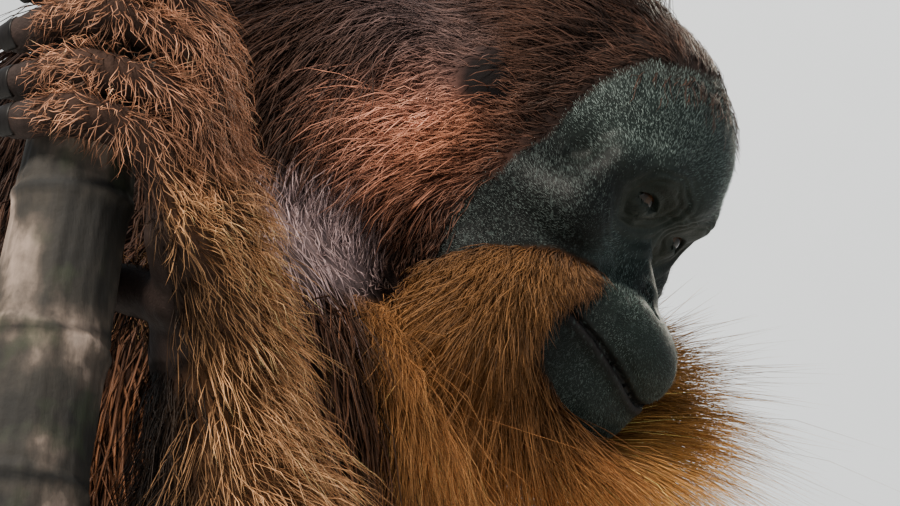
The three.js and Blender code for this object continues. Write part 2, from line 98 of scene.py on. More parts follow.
TOE_LENGTH, TOE_RADIUS, TOE_SPACING = 78.0, 7.4, 16.0
TOE_ROOT, SOLE_LIFT, HEEL_LENGTH = 6, 4, 40
TOE_TAPER = (0, 0, 0.4, 1.2)
GREAT_TOE_RADII = (11.0, 10.0, 8.2)
FOOT_REACH = 16.0

GRIP = {
    "index": ((552, -21, 49), (588, -43, 41), (601, -93, 32.5), (602, -147, 31.5)),
    "middle": ((564, -6, 54), (605, -33, 46), (620, -90, 32.5), (620, -159, 32.5)),
    "ring": ((577, 4, 56), (626, -29, 45), (645, -93, 32.5), (642, -165, 34)),
    "little": ((587, 14, 58), (642, -22, 43), (664, -86, 31.5), (662, -154, 31.5)),
    "thumb": ((528, 6, 50), (538, 42, 40), (545, 84, 33), (548, 118, 32.5)),
}
GRIP_RADII = (8.8, 8.6, 8.2, 7.2)
LEFT_KNUCKLE = vec(186, 220, 352)
LEFT_ALONG = unit(vec(0.72, -0.2, -0.67))
LEFT_ACROSS = unit(vec(0.1, 0.98, -0.17))
KNUCKLE_SPACING = 17.4
LEFT_FINGERS = {"index": (-1.5, 104), "middle": (-0.5, 116), "ring": (0.5, 113), "little": (1.5, 98)}
LEFT_RADII = (8.2, 8.2, 7.8, 6.8)
LEFT_THUMB = (vec(148, 212, 378), vec(160, 196, 350), vec(166, 190, 326), vec(164, 190, 306))
THUMB_RADII = (10.5, 9.6, 9.0, 7.6)
FINGER_BONE_SHARES = (0.375, 0.35, 0.275)
MIDDLE_BONE_WAY, TIP_BONE_WAY = vec(0.35, -0.1, -0.93), vec(-0.5, 0.05, -0.86)


# Camera: the photograph's view, low on the animal's right side and tilted up
CAMERA_AT = vec(26.2, -2148.8, 158.1)
CAMERA_PITCH = 12.0
CAMERA_LENS = 184.8


def add_camera():
    data = bpy.data.cameras.new("camera")
    data.lens = CAMERA_LENS
    data.sensor_width = 36
    data.clip_end = 50
    camera = bpy.data.objects.new("camera", data)
    camera.location = CAMERA_AT * MM
    camera.rotation_euler = (math.radians(90 + CAMERA_PITCH), 0, 0)
    bpy.context.scene.collection.objects.link(camera)
    bpy.context.scene.camera = camera


add_camera()


# Forms: signed distances with the box they matter in and the reach of their blend
FAR = 300.0


def smooth_min(a, b, reach):
    overlap = np.maximum(reach - np.abs(a - b), 0) / reach
    return np.minimum(a, b) - overlap * overlap * reach * 0.25


def smooth_max(a, b, reach):
    return -smooth_min(-a, -b, reach)


def bone(start, end, start_radius, end_radius, reach):
    axis = end - start
    length_squared = axis @ axis
    widest = max(start_radius, end_radius)

    def distance(points):
        along = np.clip((points - start) @ axis / length_squared, 0, 1)
        nearest = start + along[:, None] * axis
        radius = start_radius + (end_radius - start_radius) * along
        return np.linalg.norm(points - nearest, axis=1) - radius

    return np.minimum(start, end) - widest, np.maximum(start, end) + widest, distance, reach


def oval(centre, axes, radii, reach):
    axes = np.asarray(axes)
    radii = np.asarray(radii, dtype=float)

    def distance(points):
        local = (points - centre) @ axes.T
        size = np.linalg.norm(local / radii, axis=1)
        steep = np.linalg.norm(local / radii ** 2, axis=1)
        return size * (size - 1) / np.maximum(steep, 1e-9)

    extent = np.sqrt(((axes * radii[:, None]) ** 2).sum(axis=0))
    return centre - extent, centre + extent, distance, reach


def limb(joints, reach):
    return [bone(a, b, ra, rb, reach) for (a, ra), (b, rb) in zip(joints, joints[1:])]


def field(points, forms):
    result = np.full(len(points), FAR)
    for low, high, distance, reach in forms:
        margin = reach + 12
        near = np.all((points > low - margin) & (points < high + margin), axis=1)
        if near.any():
            result[near] = smooth_min(result[near], distance(points[near]), reach)
    return result


def curve_through(points, steps):
    points = np.array(points)
    padded = np.vstack([2 * points[0] - points[1], points, 2 * points[-1] - points[-2]])
    places = np.linspace(0, len(points) - 1, steps)
    index = np.minimum(places.astype(int), len(points) - 2)
    t = (places - index)[:, None]
    a, b, c, d = (padded[index + k] for k in range(4))
    return 0.5 * (2 * b + (c - a) * t + (2 * a - 5 * b + 4 * c - d) * t ** 2
                  + (3 * b - a - 3 * c + d) * t ** 3)


# Digits: a smooth path with knuckles
def stem_point(height):
    return STEM_GRIP + STEM_LEAN * (height - STEM_GRIP[2])


def grip_point(height, angle, distance):
    turn = math.radians(angle)
    return stem_point(height) + vec(math.cos(turn), math.sin(turn), 0) * distance


def relaxed_finger(offset, length):
    knuckle = LEFT_KNUCKLE + LEFT_ACROSS * offset * KNUCKLE_SPACING
    ways = (LEFT_ALONG, MIDDLE_BONE_WAY, TIP_BONE_WAY)
    path = [knuckle]
    for way, share in zip(ways, FINGER_BONE_SHARES):
        path.append(path[-1] + way * length * share)
    return path


def toe_path(foot, row):
    heel, along, inward = foot
    start = heel + along * (FOOT_LENGTH + TOE_ROOT) + UP * ((row - 1.5) * TOE_SPACING + SOLE_LIFT)
    bend = start + along * TOE_LENGTH * 0.45 + inward * 4
    curl = bend + along * TOE_LENGTH * 0.28 + inward * 16
    return start, bend, curl, curl + along * TOE_LENGTH * 0.04 + inward * 20


def great_toe_path(foot):
    heel, along, inward = foot
    start = heel + along * 42 + inward * 6 + UP * 22
    bend = start + along * 18 + inward * 16 + UP * 8
    return start, bend, bend + along * 18 + inward * 14 + UP


def digit_plan():
    digits = {}
    for name, places in GRIP.items():
        path = [grip_point(*place) for place in places]
        digits["right_" + name] = (path, THUMB_RADII if name == "thumb" else GRIP_RADII)
    for name, (offset, length) in LEFT_FINGERS.items():
        digits["left_" + name] = (relaxed_finger(offset, length), LEFT_RADII)
    digits["left_thumb"] = (LEFT_THUMB, THUMB_RADII)
    for side, foot in FEET.items():
        for row in range(4):
            digits[f"toe_{side}_{row}"] = (toe_path(foot, row), [TOE_RADIUS - loss for loss in TOE_TAPER])
        digits[f"toe_{side}_great"] = (great_toe_path(foot), GREAT_TOE_RADII)
    return digits


DIGITS = digit_plan()


def digit_forms(path, radii, knuckle_rise=0.5):
    steps = 13
    centres = curve_through(path, steps)
    along = np.linspace(0, len(radii) - 1, steps)
    sizes = np.interp(along, range(len(radii)), radii)
    sizes += knuckle_rise * np.cos(along * 2 * np.pi)
    return limb(list(zip(centres, sizes)), 3.0)


def palm_forms(wrist, knuckles):
    return [bone(wrist, knuckle, 17.0, 12.5, 12.0) for knuckle in knuckles]


def foot_forms(foot):
    heel, along, _ = foot
    ball = heel + along * FOOT_LENGTH
    rise = UP * FOOT_HALF_HEIGHT
    return [
        bone(heel, heel + along * HEEL_LENGTH, FOOT_RADIUS + 3, FOOT_RADIUS, FOOT_REACH),
        bone(heel, ball + rise, FOOT_RADIUS, FOOT_RADIUS - 4, FOOT_REACH),
        bone(heel, ball - rise + UP * SOLE_LIFT, FOOT_RADIUS, FOOT_RADIUS - 4, FOOT_REACH),
    ]


# Head: forwards, left and up from the bridge of the nose
def face(forwards, left, up):
    return NASION + np.array([forwards, left, up], dtype=float) @ FACE_AXES


def on_face(points):
    """Each point's place forwards, left and up from the bridge of the nose."""
    return (points - NASION) @ FACE_AXES.T


def face_oval(centre, radii, reach):
    return oval(face(*centre), FACE_AXES, radii, reach)


def face_bone(start, end, start_radius, end_radius, reach):
    return bone(face(*start), face(*end), start_radius, end_radius, reach)


def head_forms():
    forms = [
        face_oval((-68, 0, 30), (76, 60, 60), 18),
        face_oval((-98, 0, -6), (48, 56, 54), 40),
        face_oval((-32, 0, -22), (28, 42, 42), 14),
        face_oval((-36, 0, 26), (46, 47, 36), 14),
        face_bone((-15, 0, 10), (-14, 0, -16), 8, 7, 10),
        face_oval((-34, 0, -60), (36, 48, 34), 24),
        face_oval((-5, 0, -67), (46, 46, 30), 12),
        face_oval((-4, 0, -92), (36, 38, 28), 10),
        face_oval((-48, 0, -96), (44, 50, 36), 26),
        face_bone((-5, 0, -25), (5, 0, -38), 8, 10, 10),
    ]
    for side in (-1, 1):
        forms += [
            face_bone((-1, side * 4, 16), (-4, side * 29, 15), 10, 8.5, 12),
            face_bone((-4, side * 29, 15), (-16, side * 44, 5), 8.5, 7.5, 10),
            face_bone((-16, side * 44, 5), (-21, side * 46, -20), 7.5, 9, 12),
            face_bone((-24, side * 44, -26), (-58, side * 50, -24), 15, 14, 20),
            face_bone((-6, side * 10, -34), (3, side * 9, -39), 8, 7, 6),
            face_bone((-20, side * 36, -84), (-74, side * 46, -58), 20, 20, 26),
            face_oval((-92, side * 66, 8), (11, 5, 16), 8),
        ]
    return forms


# Body parts, each a list of forms; the skin joins them and the coat follows them
def body_parts():
    parts = {
        "trunk": [oval(centre, BODY_AXES, radii, TRUNK_BLEND)
                  for centre, radii in (CHEST, HUMP, BELLY, RUMP)],
        "neck": limb(GIRDLE, 70) + limb(NECK, 44),
    }
    for side in ("right", "left"):
        parts["upper_arm_" + side] = limb(ARMS[side][:3], 46)
        parts["forearm_" + side] = limb(ARMS[side][2:], 18)
        parts["thigh_" + side] = limb(LEGS[side][:3], 40)
        parts["shank_" + side] = limb(LEGS[side][2:], 22)
        parts["foot_" + side] = foot_forms(FEET[side])
    for side in ("right", "left"):
        knuckles = [DIGITS[f"{side}_{name}"][0][0] for name in LEFT_FINGERS]
        parts["hand_" + side] = palm_forms(ARMS[side][-1][0], knuckles)
    parts["head"] = head_forms()
    for name, (path, radii) in DIGITS.items():
        owner = "foot_" + name.split("_")[1] if name.startswith("toe_") else "hand_" + name.split("_")[0]
        parts[owner] += digit_forms(path, radii)
    return parts


PARTS = body_parts()
BODY = [form for forms in PARTS.values() for form in forms]


# Face folds, in head coordinates: lids, nostrils, lips and wrinkles
EYE_BALL_LID = 1.6
EYE_BED = 0.9
EYE_OPENING = (8.8, 2.5, 1.9)
EYE_SLANT = 0.12
UPPER_FOLDS = ((11.5, 0.55, 1.1), (15.5, 0.7, 1.2), (20.0, 0.45, 1.5))
LOWER_FOLDS = ((10.5, 0.7, 1.1), (15.0, 0.6, 1.3), (21.0, 0.9, 2.0), (27.5, 0.5, 1.8))
CHIN_LINES = ((-103, 0.5, 1.6), (-110, 0.4, 1.6))
MOUTH_LINE = (-85.0, 15.0, 47.0, 1.6)


def bump(value, centre, width):
    return np.exp(-((value - centre) / width) ** 2)


def smooth_step(value, low, high):
    t = np.clip((value - low) / (high - low), 0, 1)
    return t * t * (3 - 2 * t)


def mouth_height(side):
    middle, lift, width, power = MOUTH_LINE
    return middle + lift * np.clip(side / width, 0, 1.2) ** power


def eye_folds(side, up, forwards):
    across, rise = side - EYE_AT[1], up - EYE_AT[2]
    spread = np.hypot(across / 1.25, rise)
    angle = np.arctan2(rise, across)
    ripple = spread + 0.9 * np.sin(3 * angle + 1.3) + 0.5 * np.sin(7 * angle)
    above = smooth_step(np.sin(angle), -0.7, 0.7)
    depth = np.zeros_like(side)
    for radius, deep, width in UPPER_FOLDS:
        depth += above * deep * bump(ripple, radius, width)
    for radius, deep, width in LOWER_FOLDS:
        depth += (1 - above) * deep * bump(ripple, radius, width)
    return depth * (forwards > -40)


def eye_lids(distance, side, up, deep):
    across, rise = side - EYE_AT[1], up - EYE_AT[2]
    half_width, upper, lower = EYE_OPENING
    from_middle = np.sqrt(across ** 2 + rise ** 2 + deep ** 2)
    distance = smooth_min(distance, from_middle - (EYE_RADIUS + EYE_BALL_LID), 5)
    tilt = rise - EYE_SLANT * across
    height = np.where(tilt > 0, upper, lower) * (1 - np.clip(np.abs(across) / half_width, 0, 1.5) ** 2.2)
    almond = np.maximum(np.abs(tilt) - height, EYE_RADIUS - EYE_BED - from_middle)
    return smooth_max(distance, -np.maximum(almond, -deep), 0.7)


def with_face(points, distance):
    forwards, left, up = on_face(points).T
    inside = (forwards > -70) & (np.abs(left) < 62) & (up > -125) & (up < 60)
    if not inside.any():
        return distance
    f, side, u = forwards[inside], np.abs(left[inside]), up[inside]
    d = distance[inside] + eye_folds(side, u, f)
    d = eye_lids(d, side, u, f - EYE_AT[0])
    # Frown lines over the bridge, and lines round the chin
    d += 0.5 * bump(u, 6, 1.2) * (side < 12) + 0.4 * bump(u, 1, 1.0) * (side < 9)
    for height, deep, width in CHIN_LINES:
        d += deep * bump(u + 0.1 * side, height, width) * (f > 0) * bump(side, 0, 24)
    # Nostrils: a comma-shaped slit under each wing of the nose
    nostril = np.sqrt(((side - 8.6 + 0.25 * (u + 40)) / 2.7) ** 2 + ((u + 40) / 6.5) ** 2) - 1
    d = smooth_max(d, -np.maximum(nostril * 2.6, -5.5 - d), 1.2)
    # Fold from the wing of the nose to the cheek
    crease = side - (15 + 0.62 * (-30 - u))
    d += 0.8 * bump(crease, 0, 2.2) * smooth_step(u, -66, -56) * (1 - smooth_step(u, -34, -24))
    # Mouth line with a thin dark lip under it
    line = mouth_height(side)
    seam = np.where((f > -16) & (side < 53), np.abs(u - line), 9.0)
    d += 3.0 * bump(seam, 0, 1.1) - 1.0 * bump(u, line - 4.2, 2.6) * (f > -12)
    d += 0.45 * bump(u, line + 5.0, 1.6) * (f > 0) * smooth_step(side, 6, 18)
    result = distance.copy()
    result[inside] = d
    return result


def skin_distance(points):
    return with_face(points, field(points, BODY))


def gradient(points, distance_at, step=0.4):
    result = np.zeros_like(points)
    for direction in (vec(1, -1, -1), vec(-1, -1, 1), vec(-1, 1, -1), vec(1, 1, 1)):
        result += direction * distance_at(points + step * direction)[:, None]
    return result / (4 * step)


def settled(points, distance_at, rounds=1, limit=2.5):
    for _ in range(rounds):
        slope = gradient(points, distance_at)
        squared = np.maximum((slope ** 2).sum(axis=1), 0.05)
        move = np.clip(-distance_at(points) / squared, -limit, limit)
        points = points + slope * move[:, None]
    return points


# Grid of distances: coarse everywhere, for the coat, and fine near the surface, for the skin
GRID_LOW, GRID_HIGH = vec(-324, -384, 6), vec(366, 426, 798)
COARSE = 6.0
FINE = 3.0


def coarse_grid(forms):
    axes = [np.arange(GRID_LOW[i], GRID_HIGH[i] + COARSE / 2, COARSE) for i in range(3)]
    values = np.full([len(axis) for axis in axes], FAR, dtype=np.float32)
    for form_low, form_high, distance, reach in forms:
        margin = reach + 30
        span = tuple(slice(*np.searchsorted(axes[i], (form_low[i] - margin, form_high[i] + margin)))
                     for i in range(3))
        block = values[span]
        if block.size:
            grid = np.meshgrid(*[axes[i][span[i]] for i in range(3)], indexing="ij")
            fresh = distance(np.stack(grid, axis=-1).reshape(-1, 3)).reshape(block.shape)
            values[span] = smooth_min(block, fresh, reach)
    return values


def halved(values):
    """The same grid at half the pitch, by straight interpolation."""
    for axis in range(3):
        values = np.moveaxis(values, axis, 0)
        finer = np.empty((2 * len(values) - 1, *values.shape[1:]), dtype=np.float32)
        finer[::2] = values
        finer[1::2] = (values[1:] + values[:-1]) / 2
        values = np.moveaxis(finer, 0, axis)
    return values


CELL_CORNERS = [np.array([i >> 2 & 1, i >> 1 & 1, i & 1]) for i in range(8)]


def grid_surface(forms, coarse):
    """Points and quads of the surface: one point in each crossed cell of the fine grid."""
    values = halved(coarse)
    near = np.argwhere(np.abs(values) < 2.4 * FINE)
    values[tuple(near.T)] = field(GRID_LOW + near * FINE, forms)
    inside = values < 0
    shape = np.array(values.shape) - 1
    count = sum(inside[c[0]:c[0] + shape[0], c[1]:c[1] + shape[1], c[2]:c[2] + shape[2]].astype(np.int8)
                for c in CELL_CORNERS)
    crossed = (count > 0) & (count < 8)
    cells = np.argwhere(crossed)
    number = np.full(crossed.shape, -1, dtype=np.int64)
    number[crossed] = np.arange(len(cells))
    total = np.zeros((len(cells), 3))
    hits = np.zeros(len(cells))
    at_corner = [values[tuple((cells + corner).T)] for corner in CELL_CORNERS]
    for a in range(8):
        for b in range(a + 1, 8):
            edge = CELL_CORNERS[b] - CELL_CORNERS[a]
            if np.abs(edge).sum() != 1:
                continue
            cross = (at_corner[a] < 0) != (at_corner[b] < 0)
            t = np.where(cross, at_corner[a] / np.where(cross, at_corner[a] - at_corner[b], 1), 0)
            place = CELL_CORNERS[a] + t[:, None] * edge
            total[cross] += place[cross]
            hits += cross
    points = GRID_LOW + FINE * (cells + total / hits[:, None])
    quads = []
    for axis in range(3):
        step, side_a, side_b = np.eye(3, dtype=int)[[axis, (axis + 1) % 3, (axis + 2) % 3]]
        size = np.array(values.shape) - step
        here = inside[:size[0], :size[1], :size[2]]
        there = inside[step[0]:, step[1]:, step[2]:]
        for leaving in (True, False):
            edges = np.argwhere(here & ~there if leaving else ~here & there)
            ring = [edges, edges - side_a, edges - side_a - side_b, edges - side_b]
            quad = np.stack([number[tuple(cell.T)] for cell in ring], axis=1)
            quads.append(quad if leaving else quad[:, ::-1])
    return points, np.vstack(quads)


COARSE_VALUES = coarse_grid(BODY)


def near_distance(points):
    """Distance to the skin read from the coarse grid."""
    place = np.clip((points - GRID_LOW) / COARSE, 0, np.array(COARSE_VALUES.shape) - 1.001)
    cell = place.astype(int)
    t = place - cell
    result = np.zeros(len(points))
    for corner in CELL_CORNERS:
        share = np.prod(np.where(corner, t, 1 - t), axis=1)
        result += share * COARSE_VALUES[tuple((cell + corner).T)]
    return result


# Meshes
def new_mesh(name, points, faces):
    """A mesh of triangles or quads from arrays, in metres."""
    mesh = bpy.data.meshes.new(name)
    count, corners = faces.shape
    mesh.vertices.add(len(points))
    mesh.vertices.foreach_set("co", (points * MM).astype(np.float32).ravel())
    mesh.loops.add(count * corners)
    mesh.loops.foreach_set("vertex_index", faces.astype(np.int32).ravel())
    mesh.polygons.add(count)
    mesh.polygons.foreach_set("loop_start", np.arange(0, count * corners, corners, dtype=np.int32))
    mesh.update(calc_edges=True)
    mesh.validate()
    mesh.polygons.foreach_set("use_smooth", np.ones(count, dtype=bool))
    return mesh


def new_piece(name, points, faces, slot, replaces=()):
    piece = bpy.data.objects.new(name, new_mesh(name, points, faces))
    bpy.context.scene.collection.objects.link(piece)
    declare(piece, replaces)
    return piece


def declare(piece, replaces=()):
    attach(piece, "root")
    if replaces:
        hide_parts(*replaces)


def mesh_points(mesh):
    flat = np.empty(len(mesh.vertices) * 3, dtype=np.float32)
    mesh.vertices.foreach_get("co", flat)
    return flat.reshape(-1, 3).astype(float) / MM


def set_mesh_points(mesh, points):
    mesh.vertices.foreach_set("co", (points * MM).astype(np.float32).ravel())
    mesh.update()


def add_colours(mesh, name, colours):
    layer = mesh.color_attributes.new(name, "FLOAT_COLOR", "POINT")
    rgba = np.ones((len(colours), 4), dtype=np.float32)
    rgba[:, :3] = colours
    layer.data.foreach_set("color", rgba.ravel())


# Skin
def in_face(points):
    forwards, left, up = on_face(points).T
    return (forwards > -62) & (np.abs(left) < 60) & (up > -112) & (up < 62)


def near_eyes_nose_and_mouth(points):
    forwards, left, up = on_face(points).T
    side = np.abs(left)
    mouth = (forwards > -24) & (side < 54) & (np.abs(up - mouth_height(side)) < 6)
    return mouth | (forwards > -36) & (side < 46) & (up > -52) & (up < 24)


def near_lids(points):
    forwards, left, up = on_face(points).T
    across = np.abs(left) - EYE_AT[1]
    return (forwards > -26) & (np.abs(across) < 11.5) & (np.abs(up - EYE_AT[2]) < 6.5)


def plain_surface(points):
    """True where the grid may be thinned out: not on the head, hands and feet."""
    head = np.linalg.norm(points - face(-50, 0, -10), axis=1) < 150
    hand = np.linalg.norm(points - grip_point(600, -40, 20), axis=1) < 100
    other = np.linalg.norm(points - vec(195, 212, 310), axis=1) < 85
    feet = (points[:, 2] < 100) & (points[:, 0] > 90)
    return ~(head | hand | other | feet)


def subdivide_where(mesh, chosen):
    work = bmesh.new()
    work.from_mesh(mesh)
    work.faces.ensure_lookup_table()
    centres = np.array([face.calc_center_median()[:] for face in work.faces]) / MM
    edges = {edge for index in np.flatnonzero(chosen(centres)) for edge in work.faces[index].edges}
    bmesh.ops.subdivide_edges(work, edges=list(edges), cuts=1, use_grid_fill=True)
    bmesh.ops.triangulate(work, faces=[face for face in work.faces if len(face.verts) > 4])
    work.to_mesh(mesh)
    work.free()


def apply_modifiers(piece):
    graph = bpy.context.evaluated_depsgraph_get()
    mesh = bpy.data.meshes.new_from_object(piece.evaluated_get(graph))
    piece.modifiers.clear()
    old = piece.data
    piece.data = mesh
    bpy.data.meshes.remove(old)


KEPT_SHARE = 0.21


def make_skin():
    flesh = [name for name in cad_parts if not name.startswith(("stand_", "stem", "eye_"))]
    skin = new_piece("skin", *grid_surface(BODY, COARSE_VALUES), "bare_skin", flesh)
    group = skin.vertex_groups.new(name="thin_out")
    group.add(np.flatnonzero(plain_surface(mesh_points(skin.data))).tolist(), 1.0, "REPLACE")
    thin = skin.modifiers.new("thin_out", "DECIMATE")
    thin.ratio = KEPT_SHARE
    thin.vertex_group = "thin_out"
    thin.vertex_group_factor = 10
    apply_modifiers(skin)
    set_mesh_points(skin.data, settled(mesh_points(skin.data), skin_distance))
    for chosen in (in_face, near_eyes_nose_and_mouth, near_lids):
        subdivide_where(skin.data, chosen)
        points = mesh_points(skin.data)
        inside = in_face(points)
        points[inside] = settled(points[inside], skin_distance, 2)
        set_mesh_points(skin.data, points)
    skin.data.polygons.foreach_set("use_smooth", np.ones(len(skin.data.polygons), dtype=bool))
    return skin


# Zones of the head, by direction from its middle: angle from the front, and height
HEAD_MIDDLE = (-50.0, 0.0, -30.0)
HAIR_LINE = ((0, 42, 65, 80, 87, 92, 95, 103, 110, 135, 180), (71, 64, 59, 46, 35, 16, 0, -20, -48, -56, -56))
BEARD_LINE = ((0, 35, 58, 81, 102, 110, 125), (-8, -9, -13, -24, -36, -48, -64))
MUZZLE_EDGE = ((-90, -49.5, -48, -46, -42, -33, -24.5, -14, -9, 0), (-20, -4, 18, 32, 43, 50, 45, 35, 33, 33))


def head_angles(points):
    forwards, left, up = (on_face(points) - np.array(HEAD_MIDDLE)).T
    turn = np.degrees(np.arctan2(np.abs(left), forwards))
    height = np.degrees(np.arctan2(up, np.hypot(forwards, left)))
    return turn, height


def head_zones(points):
    """How far inside the hair line, the beard line and the beard's edge on the muzzle, in degrees."""
    turn, height = head_angles(points)
    hair = height - np.interp(turn, *HAIR_LINE)
    beard = np.interp(turn, *BEARD_LINE) - height
    muzzle = turn - np.interp(height, *MUZZLE_EDGE)
    return hair, beard, muzzle


PART_NAMES = list(PARTS)
BLEND_OF_PARTS = 14.0


def part_shares(points):
    distances = np.stack([field(points, PARTS[name]) for name in PART_NAMES], axis=1)
    closeness = np.exp(-(distances - distances.min(axis=1, keepdims=True)) / BLEND_OF_PARTS)
    return closeness / closeness.sum(axis=1, keepdims=True)


def share_of(shares, name):
    return shares[:, PART_NAMES.index(name)]


def limb_guide(joints):
    return unit(joints[-1][0] - joints[0][0])


# Coat of each part: way it lies, then length, width, lift, thickness of growth, and colours at root and tip
# Trunk and neck coat: dark red hair, darkened further as painted shade
DARK_RED_AND_SHADE = ((0.010, 0.005, 0.004), (0.064, 0.029, 0.017))
RUST = ((0.030, 0.012, 0.006), (0.260, 0.100, 0.040))
FOREARM_GOLD = ((0.018, 0.007, 0.003), (0.360, 0.155, 0.058))
ARM_SHADE = ((0.006, 0.003, 0.002), (0.034, 0.017, 0.007))
ARM_SUN = ((0.130, 0.058, 0.024), (1.000, 0.520, 0.240))
NECK_HAIR = ((0.230, 0.160, 0.158), (0.620, 0.430, 0.430))
# Right hand hair: golden, made brighter as painted sunlight
HAND_GOLD_SUNLIT = ((0.055, 0.024, 0.013), (0.860, 0.400, 0.230))
CROWN = ((0.014, 0.008, 0.006), (0.100, 0.046, 0.030))
GOLD = ((0.085, 0.034, 0.011), (0.460, 0.215, 0.078))
TEMPLE_ORANGE_AND_SUN = ((0.240, 0.078, 0.042), (1.000, 0.400, 0.230))
BRISTLE = ((0.018, 0.026, 0.024), (0.170, 0.215, 0.200))
COAT = {
    "trunk": (vec(-0.1, 0.05, -1), 88, 1.3, 0.30, 1.0, DARK_RED_AND_SHADE),
    "neck": (vec(-0.55, 0, -0.8), 60, 0.62, 0.38, 1.5, DARK_RED_AND_SHADE),
    "head": (None, 12, 0.5, 0.16, 2.2, CROWN),
    "upper_arm_right": (limb_guide(ARMS["right"][:3]), 82, 1.7, 0.30, 1.0, RUST),
    "forearm_right": (-limb_guide(ARMS["right"][2:]), 50, 0.46, 0.40, 2.6, FOREARM_GOLD),
    "hand_right": (vec(0.25, -0.1, -1), 19, 0.45, 0.50, 4.2, HAND_GOLD_SUNLIT),
    "upper_arm_left": (limb_guide(ARMS["left"][:3]), 82, 1.8, 0.30, 1.0, RUST),
    "forearm_left": (-limb_guide(ARMS["left"][2:]), 66, 1.6, 0.40, 1.2, RUST),
    "hand_left": (unit(ARMS["left"][-1][0] - LEFT_KNUCKLE), 17, 0.9, 0.30, 1.8, RUST),
}
for side_name in ("right", "left"):
    leg = LEGS[side_name]
    COAT["thigh_" + side_name] = (limb_guide(leg[:3]) + vec(0, 0, -0.9), 66, 2.0, 0.28, 1.0, RUST)
    COAT["shank_" + side_name] = (limb_guide(leg[2:]), 50, 1.6, 0.30, 1.3, RUST)
    COAT["foot_" + side_name] = (FEET[side_name][1], 14, 1.0, 0.25, 1.6, RUST)


# Bare places: palms, soles and the tips of the digits
def hairless(points, normals, shares):
    part = shares.argmax(axis=1)
    bare = np.zeros(len(points))
    to_stem = -(points - stem_point(points[:, 2:]))
    palms = {
        "hand_right": unit(to_stem * vec(1, 1, 0)),
        "hand_left": -unit(np.cross(LEFT_ALONG, LEFT_ACROSS)) + np.zeros_like(points),
        "foot_right": unit(FEET["right"][2] - 0.4 * UP) + np.zeros_like(points),
        "foot_left": unit(FEET["left"][2] - 0.4 * UP) + np.zeros_like(points),
    }
    for name, facing in palms.items():
        mine = part == PART_NAMES.index(name)
        bare[mine] = smooth_step((normals[mine] * facing[mine]).sum(axis=1), -0.1, 0.35)
    for path, _ in DIGITS.values():
        tip = np.linalg.norm(points - np.asarray(path[-1]), axis=1)
        bare = np.maximum(bare, 1 - smooth_step(tip, 14, 24))
    return bare


EAR_HOLLOW = (-85.0, 70.0, 9.0)
TEMPLE_PATCH = (-95.0, 78.0, -26.0)
PATCH_WAY = vec(-1, 0.1, -0.22)
CHEEK_POINT = (-30.0, 0.0, -40.0)
FRINGE_WAY = vec(1, 0.1, 0.12)
BARE_NECK = vec(-43, -53, 617)
NECK_MIRROR = vec(0, 190, 0)
KNUCKLE_SPAN = (-125.0, -95.0)
FINGER_WAY = vec(-0.9, -0.1, -0.3)


def from_face_point(points, place):
    local = on_face(points)
    local[:, 1] = np.abs(local[:, 1])
    return np.linalg.norm(local - np.array(place), axis=1)


